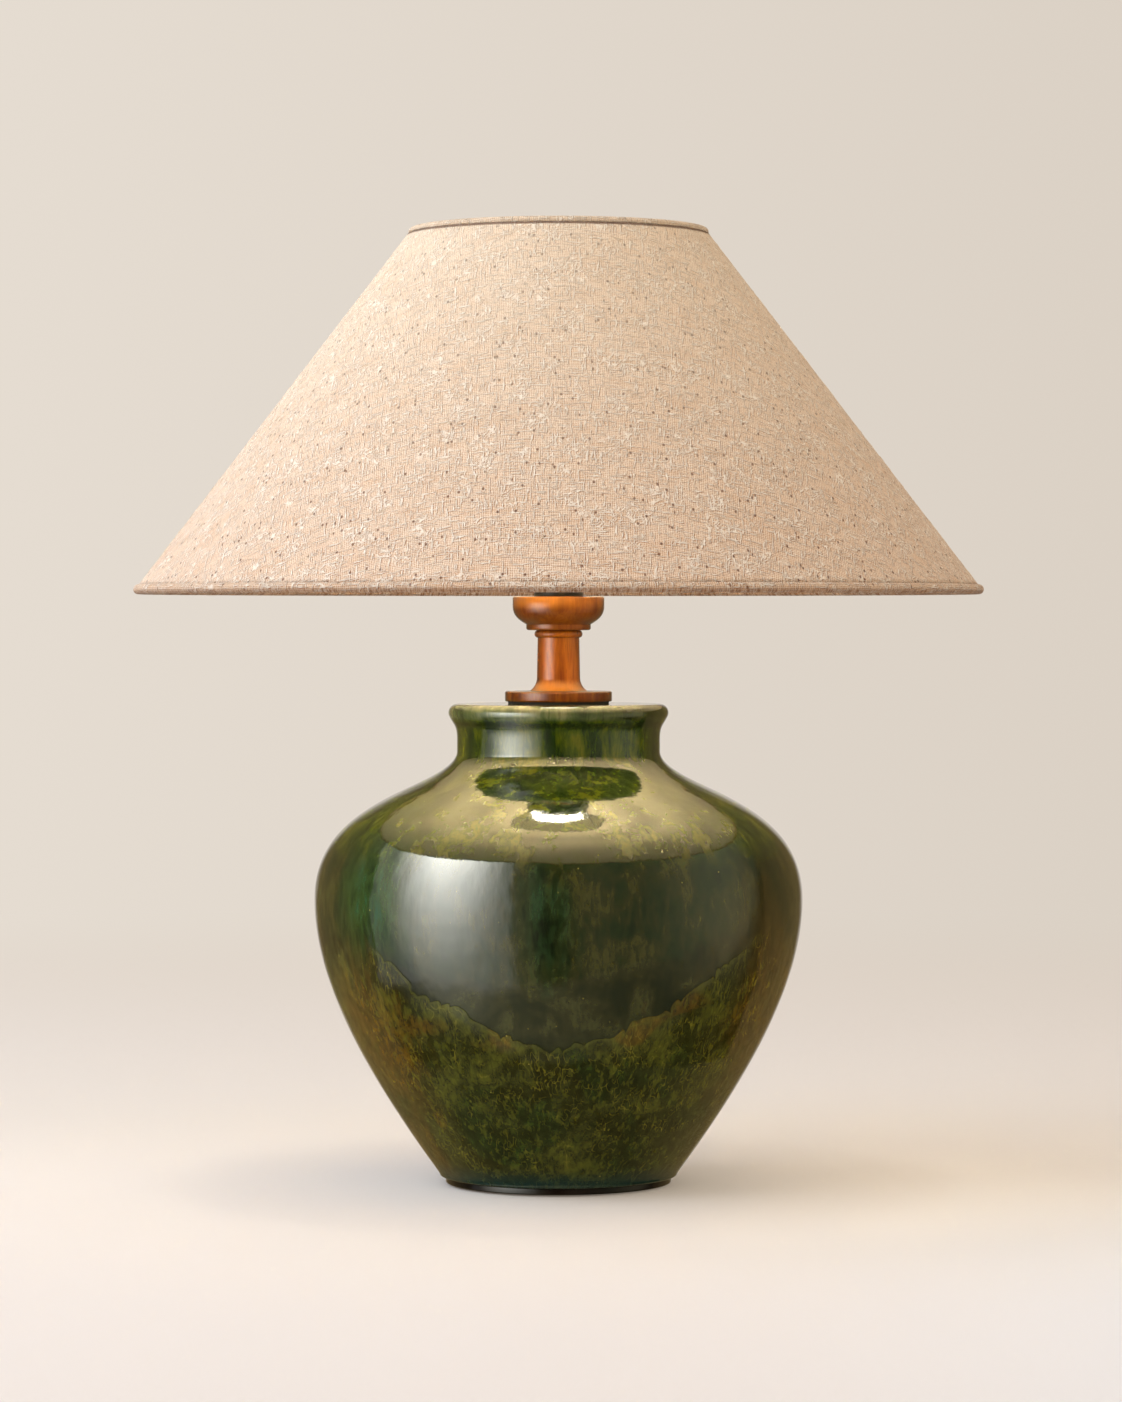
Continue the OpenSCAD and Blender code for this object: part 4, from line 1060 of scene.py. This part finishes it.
def on_cone(turns, along, lift):
    """Points at distance along from the bottom wire and lift off the wires' line. The turn
    starts at the back: x = -r sin a, y = r cos a, so a rises as seen from above."""
    r = bottom_wire[0] + slant[0] * along + out[0] * lift
    z = bottom_wire[1] + slant[1] * along + out[1] * lift
    return np.stack([-r * np.sin(turns), r * np.cos(turns), z + 0 * turns], axis=-1)


def flat_cloth(turns, along):
    """Where the same points lie on the flat cloth, with its front in the middle: the
    distance from the cone's tip, turned by the cone's share of the angle."""
    closed_turns = np.r_[turns, turns[0] + 2 * np.pi]
    a = (closed_turns - np.pi) * lean_share
    rho = (tip_distance - along)[:, None]
    return np.stack([rho * np.sin(a), -rho * np.cos(a)], axis=-1)


# %% Linen surface with its seam and slight waviness
def soft_noise(shape, cells, seed):
    """Smooth random heights from -1 to 1 that close round the columns: a coarse random
    grid, widened by a cosine step between its points."""
    rng = np.random.default_rng(seed)
    coarse = rng.uniform(-1, 1, (cells[0] + 1, cells[1]))
    coarse = np.concatenate([coarse, coarse[:, :1]], axis=1)

    def steps(count, total):
        place = np.linspace(0, total - 1e-9, count)
        whole = place.astype(int)
        part = (1 - np.cos(np.pi * (place - whole))) / 2
        return whole, part

    i, fi = steps(shape[0], cells[0])
    j, fj = steps(shape[1], cells[1])
    fi, fj = fi[:, None], fj[None, :]
    low = coarse[i][:, j] * (1 - fj) + coarse[i][:, j + 1] * fj
    high = coarse[i + 1][:, j] * (1 - fj) + coarse[i + 1][:, j + 1] * fj
    return low * (1 - fi) + high * fi


shade_rows = 72
linen_turns = shade_turns(360, bottom_wire[0])
linen_along = np.linspace(edge_back, slant_length - edge_back, shade_rows)
linen_lift = liner_t + paste + linen_t
waviness = 0.12 * MM * soft_noise((shade_rows, len(linen_turns)), (7, 40), 3)
from_back = (linen_turns + np.pi) % (2 * np.pi) - np.pi
seam_side = from_back[None, :] * (bottom_wire[0] + slant[0] * linen_along)[:, None]
crisp_edge, glued_edge = 0.7 * MM, 4.4 * MM
overlap = 0.8 * linen_t / 2 * (np.tanh((seam_side + seam_half) / crisp_edge)
    - np.tanh((seam_side - seam_half) / glued_edge))
lift = linen_lift + waviness + overlap
linen_mesh = grid_mesh("linen_cone", on_cone(linen_turns, linen_along[:, None], lift),
    flat_cloth(linen_turns, linen_along))
finish_mesh(linen_mesh, 60)
print("linen columns", len(linen_turns))

# %% [markdown]
# ### The linen's finish
#
# Real linen is uneven: thick and thin threads, small brown flecks of straw, and
# faint warmer and cooler patches. The weave group gives the threads and gaps, and
# the flecks are small random cells. The colour also paints shade in the valleys
# and gaps of the weave and beside raised threads, and a highlight on crests and
# raised threads. The bump comes from the same threads, so the light catches what
# the colour shows.

# %% Linen material
def cloth_material(name, light, dark, pitch, flecks, relief, painted_shade_below=0.0, tucked=None):
    """Woven cloth on the piece's own flat-cloth map. Raised threads and the weave's crests
    get a painted highlight, its valleys and gaps painted shade, and a second weave moved a
    little to the right and down gives a painted shadow beside each raised thread. What
    faces down gets painted shade, browner by the share painted_shade_below. Higher up the
    shade it is painted paler. tucked gives the two heights where the cloth goes under the
    trims: a painted shade line in the crease at the upper one, stitches at the lower one."""
    material, n, place = start_material(name)
    flat = n.add("UVMap", uv_map="cloth").outputs[0]
    woven, beside = (n.group(weave, {"Cloth": at, "Pitch": pitch, "Waver": 1.3 * MM})
        for at in (flat, n.shift(flat, (-0.4 * MM, 0.35 * MM, 0))))
    raised = woven["Thick threads"]
    painted_thread_shadow = n.math("SUBTRACT", beside["Thick threads"], raised, True)
    tone = n.noise(flat, 130.0, 5.0, 0.7)
    warm = n.band(n.noise(n.stretch(flat, (0.5, 1, 1)), 90.0, 4.0, 0.65), 0.45, 0.7)
    streaks = n.band(n.noise(n.stretch(flat, (0.22, 1, 1)), 120.0, 3.0, 0.6), 0.48, 0.68)
    grain = n.band(n.noise(flat, 1500.0, 2.0, 0.6), 0.52, 0.68)
    crowd = n.band(n.noise(flat, 40.0, 2.0), 0.45, 0.6)
    spots = n.less(n.band(n.cells(n.stretch(flat, (1, 0.5, 1)), 130.0, "2D"), 0.035, 0.09))
    strays = n.less(n.band(n.cells(n.stretch(flat, (1, 0.7, 1)), 75.0, "2D"), 0.028, 0.065))
    spots = n.math("MAXIMUM", n.times(spots, crowd), strays)
    facing_down = n.band(n.axes(n.add("NewGeometry").outputs["Normal"])["Z"], 0.35, -0.6)
    folds = n.band(n.noise(n.stretch(flat, (1, 0.12, 1)), 800.0, 2.0, 0.6), 0.48, 0.62)
    height = n.axes(place)["Z"]
    colour = n.coats(n.mix(tone, dark, light), [
        (warm, 0.3, screen(246, 206, 168)),
        (streaks, 0.45, screen(214, 172, 132)),
        # Painted shade in the weave's valleys and gaps and beside raised threads, and a painted
        # highlight on its crests and raised threads; the grain between is the linen's own tone.
        (n.band(woven["Threads"], 0.58, 0.2), 0.85, screen(192, 132, 80)),
        (n.band(woven["Threads"], 0.7, 0.98), 0.4, screen(255, 246, 228)),
        (grain, 0.5, screen(188, 130, 80)),
        (n.band(woven["Gaps"], 0.2, 0.9), 0.65, screen(154, 100, 54)),
        (painted_thread_shadow, 0.9, screen(146, 90, 46)),
        (raised, 0.85, screen(255, 247, 233)),
        (spots, flecks, screen(104, 56, 18)),
        # Painted shade on what faces down.
        (n.times(facing_down, n.spread(folds, 0.7, 1.25)), painted_shade_below, screen(128, 78, 30)),
        # A painted highlight: the cloth is paler towards the top of the shade.
        (n.band(height, 0.3, 0.52), 0.34, screen(255, 240, 210))])
    if tucked:
        low, high = tucked
        # by_top is a painted shade line in the crease under the top trim; by_bottom is a row of
        # stitches.
        by_top = n.band(height, high - 1.2 * MM, high - 0.3 * MM)
        stitches = n.band(n.noise(flat, 420.0, 1.0), 0.46, 0.6)
        by_bottom = n.times(n.band(height, low + 1.3 * MM, low + 0.4 * MM), stitches, 0.4)
        colour = n.coats(colour, [
            (n.math("MAXIMUM", by_top, by_bottom), 0.85, screen(104, 66, 34))])
    end_material(n, {"Base Color": colour, "Roughness": n.spread(raised, 0.98, 0.8),
        "Sheen Weight": 0.12, "Normal": n.bump(woven["Height"], relief)})
    return material


under_trims = (float(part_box("bottom_trim")[1][2]), float(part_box("top_trim")[0][2]))
linen = cloth_material("linen", screen(249, 234, 213), screen(229, 200, 172), 1.1 * MM, 0.9,
    0.32 * MM, tucked=under_trims)
trim_linen = cloth_material("trim_linen", screen(242, 220, 194), screen(212, 182, 152),
    1.1 * MM, 0.8, 0.5 * MM, 0.75)

# %% Place the linen
linen_piece = place_piece(linen_mesh, linen, "shade")
thicken(linen_piece, linen_t)
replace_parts(linen_piece, "shade_linen")

# %% Slub threads that stand proud of the linen
slub_count = 2200
slub_steps, slub_sides = 6, 5
rng = np.random.default_rng(11)
usual_length, shortest, longest = 4.6 * MM, 1.6 * MM, 14 * MM
slub_length = np.clip(rng.lognormal(np.log(usual_length), 0.5, slub_count), shortest, longest)
slub_lean = np.where(rng.random(slub_count) < 0.5, 0, np.pi / 2) + rng.normal(0.03, 0.09,
    slub_count)
slub_turn = rng.uniform(0.02, 2 * np.pi - 0.02, slub_count)
edge_room = 8 * MM
slub_rho = np.sqrt(rng.uniform((tip_distance - slant_length + edge_room) ** 2,
    (tip_distance - edge_room) ** 2, slub_count))
flat_angle = (slub_turn - np.pi) * lean_share
middle = np.stack([slub_rho * np.sin(flat_angle), -slub_rho * np.cos(flat_angle)], axis=1)
step = np.linspace(-0.5, 0.5, slub_steps)
bend = rng.normal(0, 0.3 * MM, (slub_count, 2))
wave = bend[:, :1] * np.cos(np.pi * step) + bend[:, 1:] * np.sin(2 * np.pi * step)
run = slub_length[:, None] * step
forward = np.stack([np.cos(slub_lean), np.sin(slub_lean)], axis=1)
sideways = np.stack([-forward[:, 1], forward[:, 0]], axis=1)
line = middle[:, None] + run[..., None] * forward[:, None] + wave[..., None] * sideways[:, None]


def cloth_to_cone(flat_points, lift):
    """Wraps points of the flat cloth back on the cone, lift off the wires' line."""
    rho = np.hypot(flat_points[..., 0], flat_points[..., 1])
    turn = np.arctan2(flat_points[..., 0], -flat_points[..., 1]) / lean_share + np.pi
    along = np.clip(tip_distance - rho, edge_back, slant_length - edge_back)
    return on_cone(turn, along, lift)


thin_ends = np.cos(np.pi * step * 0.92)[None, :] ** 0.6
slub_r = rng.uniform(0.11, 0.19, slub_count)[:, None] * MM * thin_ends
around = np.linspace(0, 2 * np.pi, slub_sides, endpoint=False)
ring_side = slub_r[..., None] * np.cos(around)
ring_lift = slub_r[..., None] * np.sin(around) * 0.8
ring_flat = line[:, :, None] + ring_side[..., None] * sideways[:, None, None]
slub_points = cloth_to_cone(ring_flat, linen_lift + 0.06 * MM + ring_lift)
base = np.arange(slub_count)[:, None, None] * slub_steps * slub_sides
row = base + np.arange(slub_steps - 1)[None, :, None] * slub_sides
column = np.arange(slub_sides)[None, None, :]
following = (column + 1) % slub_sides
slub_faces = np.stack([row + column, row + column + slub_sides,
    row + following + slub_sides, row + following], axis=-1).reshape(-1, 4)
slub_mesh = bpy.data.meshes.new("linen_slubs")
slub_mesh.from_pydata(slub_points.reshape(-1, 3), [], slub_faces)
slub_mesh.shade_smooth()

# %% Slub finish
slub_linen, n, place = start_material("slub_linen")
twist = n.noise(place, 900.0, 3.0, 0.6)
end_material(n, {"Base Color": n.ramp(twist, [(0.35, screen(226, 204, 176)),
    (0.65, screen(250, 238, 218))]), "Roughness": n.spread(twist, 0.8, 0.98),
    "Sheen Weight": 0.1, "Normal": n.bump(twist, 0.2 * MM, 0.5)})
slubs = place_piece(slub_mesh, slub_linen, "shade")

# %% [markdown]
# ## Trims and lining
#
# A narrow strip of linen is rolled over each wire ring and glued down on both
# sides of the shade. Its section is most of a circle, open where the cloth comes
# in.
#
# The lining is a plain sheet of pale film inside the linen. The lit bulb makes it
# glow, most near the open top and little at the rim. As with the bulb, the glow is
# strong in mirrored rays and weak to the eye: the photograph's glaze mirrors a
# bright inside, while the outside of the shade looks as it does in daylight.

# %% Rolled trims
def leaves(edge, radius):
    """Angle at which an edge of cloth, off the wire's middle, leaves a circle round it."""
    side, along = edge
    point = side + np.sqrt(radius ** 2 - side @ side) * along
    return np.degrees(np.arctan2(point[1], point[0]))


def trim_profile(centre, roll, first, last, steps):
    """Outer arc from the first edge to the last, and the inner arc back."""
    core = wire_r + 0.15 * MM

    def between(radius):
        start, end = leaves(first, radius), leaves(last, radius)
        return arc(centre, radius, start, end if end > start else end + 360, steps)

    return np.concatenate([between(roll), between(core)[::-1]])


# The carrier's arms run from its washer, at this radius and height, to the top wire.
hub, arm_r = np.array([30.2, 346.4]) * MM, 1.3 * MM
arm = (top_wire - hub) / np.linalg.norm(top_wire - hub)
arm_side = (arm_r + paste) * np.array([-arm[1], arm[0]])
cloth_side = (linen_lift + paste) * out
# Each trim's piece, node, wire, radius, the two edges it closes on, and its columns.
trims = (
    ("top_trim_cloth", "top_trim", top_wire, top_trim_r, (cloth_side, -slant),
        (arm_side, -arm), 240),
    ("bottom_trim_cloth", "bottom_trim", bottom_wire, bottom_trim_r, (-paste * out, slant),
        (cloth_side, slant), 480))
for name, node, centre, roll, first, last, columns in trims:
    profile = trim_profile(centre, roll, first, last, 22)
    girth = np.r_[0, np.cumsum(np.linalg.norm(np.diff(profile, axis=0), axis=1))]
    girth = np.r_[girth, girth[-1] + roll]
    length = np.linspace(0, 2 * np.pi * centre[0], columns + 1)
    strip = np.stack(np.broadcast_arrays(length[None, :], girth[:, None]), axis=-1)
    trim_mesh = grid_mesh(name, revolve(profile, columns), strip, closed=(True, True))
    finish_mesh(trim_mesh, 60)
    trim_piece = place_piece(trim_mesh, trim_linen, "shade")
    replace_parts(trim_piece, node)

# %% Lining film
lining, n, place = start_material("pale_lining")
flat = n.add("UVMap", uv_map="cloth").outputs[0]
fibres = n.noise(n.stretch(flat, (1, 0.3, 1)), 520.0, 5.0, 0.65, 0.5)
cast = n.noise(flat, 14.0, 3.0)
lining_colour = n.ramp(fibres, [(0.3, screen(232, 214, 184)), (0.7, screen(244, 230, 204))])
lining_colour = n.coats(lining_colour, [(cast, 0.3, screen(226, 204, 170))])
shade_rise = top_wire[1] - bottom_wire[1]
up_share = n.line(n.axes(place)["Z"], 1 / shade_rise, -bottom_wire[1] / shade_rise)
# The glow's level at shares of the height, from the bottom wire to the top one.
levels = [(0.08, 0.0), (0.13, 0.08), (0.2, 0.09), (0.28, 0.13), (0.39, 0.31), (0.51, 0.48),
    (0.65, 0.22), (0.83, 0.62), (1.0, 0.9)]
glow = n.ramp(up_share, [(share, (v, 0.78 * v, 0.35 * v, 1.0)) for share, v in levels])
to_the_eye = 0.08
in_gloss = n.add("LightPath").outputs["Is Glossy Ray"]
end_material(n, {"Base Color": lining_colour, "Roughness": n.spread(fibres, 0.55, 0.75),
    "Emission Strength": 4.0, "Emission Color": n.mix(n.spread(in_gloss, to_the_eye, 1.0),
        (0, 0, 0, 1), glow), "Normal": n.bump(fibres, 0.1 * MM, 0.4)})
lining_turns = shade_turns(240, bottom_wire[0])
lining_lift = np.full((shade_rows, len(lining_turns)), liner_t)
lining_mesh = grid_mesh("shade_lining_film", on_cone(lining_turns, linen_along[:, None],
    lining_lift), flat_cloth(lining_turns, linen_along))
finish_mesh(lining_mesh, 60)
lining_piece = place_piece(lining_mesh, lining, "shade")
thicken(lining_piece, liner_t)
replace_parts(lining_piece, "shade_lining")

# %% [markdown]
# ## What the gloss mirrors
#
# The photograph shows a room in the glaze: a tall window left of the middle, a dim
# one on the right, and pale air between them. Here it is one glowing card, 1.5 m
# from the lamp. It is placed by sending the camera's rays to a patch of the belly
# and mirroring them there, so that the card's reflection fills exactly that patch.
# It shows in reflections only, and lights nothing.

# %% Points and normals on the urn's outside
def belly_point(turn, height):
    """Points and outward normals of the urn's outside at angles from the front and heights."""
    profile = outer[np.argsort(outer[:, 1])]
    r = np.interp(height, profile[:, 1], profile[:, 0])
    rise = 0.5 * MM
    slope = (np.interp(height + rise, profile[:, 1], profile[:, 0])
        - np.interp(height - rise, profile[:, 1], profile[:, 0])) / (2 * rise)
    across = np.stack([np.sin(turn), -np.cos(turn)], axis=-1)
    point = np.concatenate([r[..., None] * across, (height + urn_z)[..., None]], axis=-1)
    normal = np.concatenate([across, -slope[..., None]], axis=-1)
    return point, normal / np.linalg.norm(normal, axis=-1, keepdims=True)


# %% Mirror the camera's rays in a patch of the urn
patch_turns, patch_heights = (-48, 55), (66 * MM, 181 * MM)
room_away, room_grid = 1.5, 33
turn, height = np.meshgrid(np.radians(np.linspace(*patch_turns, room_grid)),
    np.linspace(*patch_heights, room_grid))
point, normal = belly_point(turn, height)
ray_in = point - eye
ray_in /= np.linalg.norm(ray_in, axis=-1, keepdims=True)
ray_out = ray_in - 2 * (ray_in * normal).sum(axis=-1, keepdims=True) * normal
u, v = np.meshgrid(np.linspace(0, 1, room_grid), np.linspace(0, 1, room_grid))
room_mesh = grid_mesh("mirrored_room", point + room_away * ray_out, np.stack([u, v], axis=-1),
    closed=(False, False))

# %% The room's light over the card: x across and y up, from 0 to 1
room_material, n, place = start_material("mirrored_room")
part = n.axes(n.add("UVMap", uv_map="cloth").outputs[0])
x, y = part["X"], part["Y"]
window = n.times(n.hill(x, 0.04, 0.2, 0.38), n.math("POWER", y, 3.2))
beside = n.times(n.less(n.band(x, 0.35, 0.375)), n.band(y, 0.34, 0.4))
dim_window = n.times(n.hill(x, 0.6, 0.87, 1.02), n.band(y, 0.25, 0.7))
gap = n.times(n.hill(x, 0.37, 0.46, 0.56), n.band(y, 0.36, 0.44))
bowl = n.math("ABSOLUTE", n.math("SUBTRACT", n.times(x, 2.0), 1.0))
inside = n.math("SUBTRACT", y, n.times(n.math("POWER", bowl, 2.6), 0.8))
air = n.times(n.spread(n.band(x, 0.1, 0.7), 0.7, 0.18), n.less(gap), n.band(inside, 0.0, 0.14))
daylight = n.blend((window, 13.5), (beside, 0.4))
total = n.math("ADD", daylight, n.blend((dim_window, 0.4), (air, 0.6)))
daylight_share = n.math("DIVIDE", daylight, n.math("ADD", total, 0.001))
room_colour = n.mix(daylight_share, (1.0, 0.98, 0.62, 1.0), (1.0, 1.0, 0.94, 1.0))
room_light = n.add("Emission", {"Color": room_colour, "Strength": total})
n.add("OutputMaterial", {"Surface": room_light.outputs[0]})

# %% Put the card in the room round the lamp, seen only in reflections
room_mesh.materials.append(room_material)
card = add_object("mirrored_room", room_mesh)
card.visible_camera = False
card.visible_diffuse = False
card.visible_shadow = False
card.visible_transmission = False
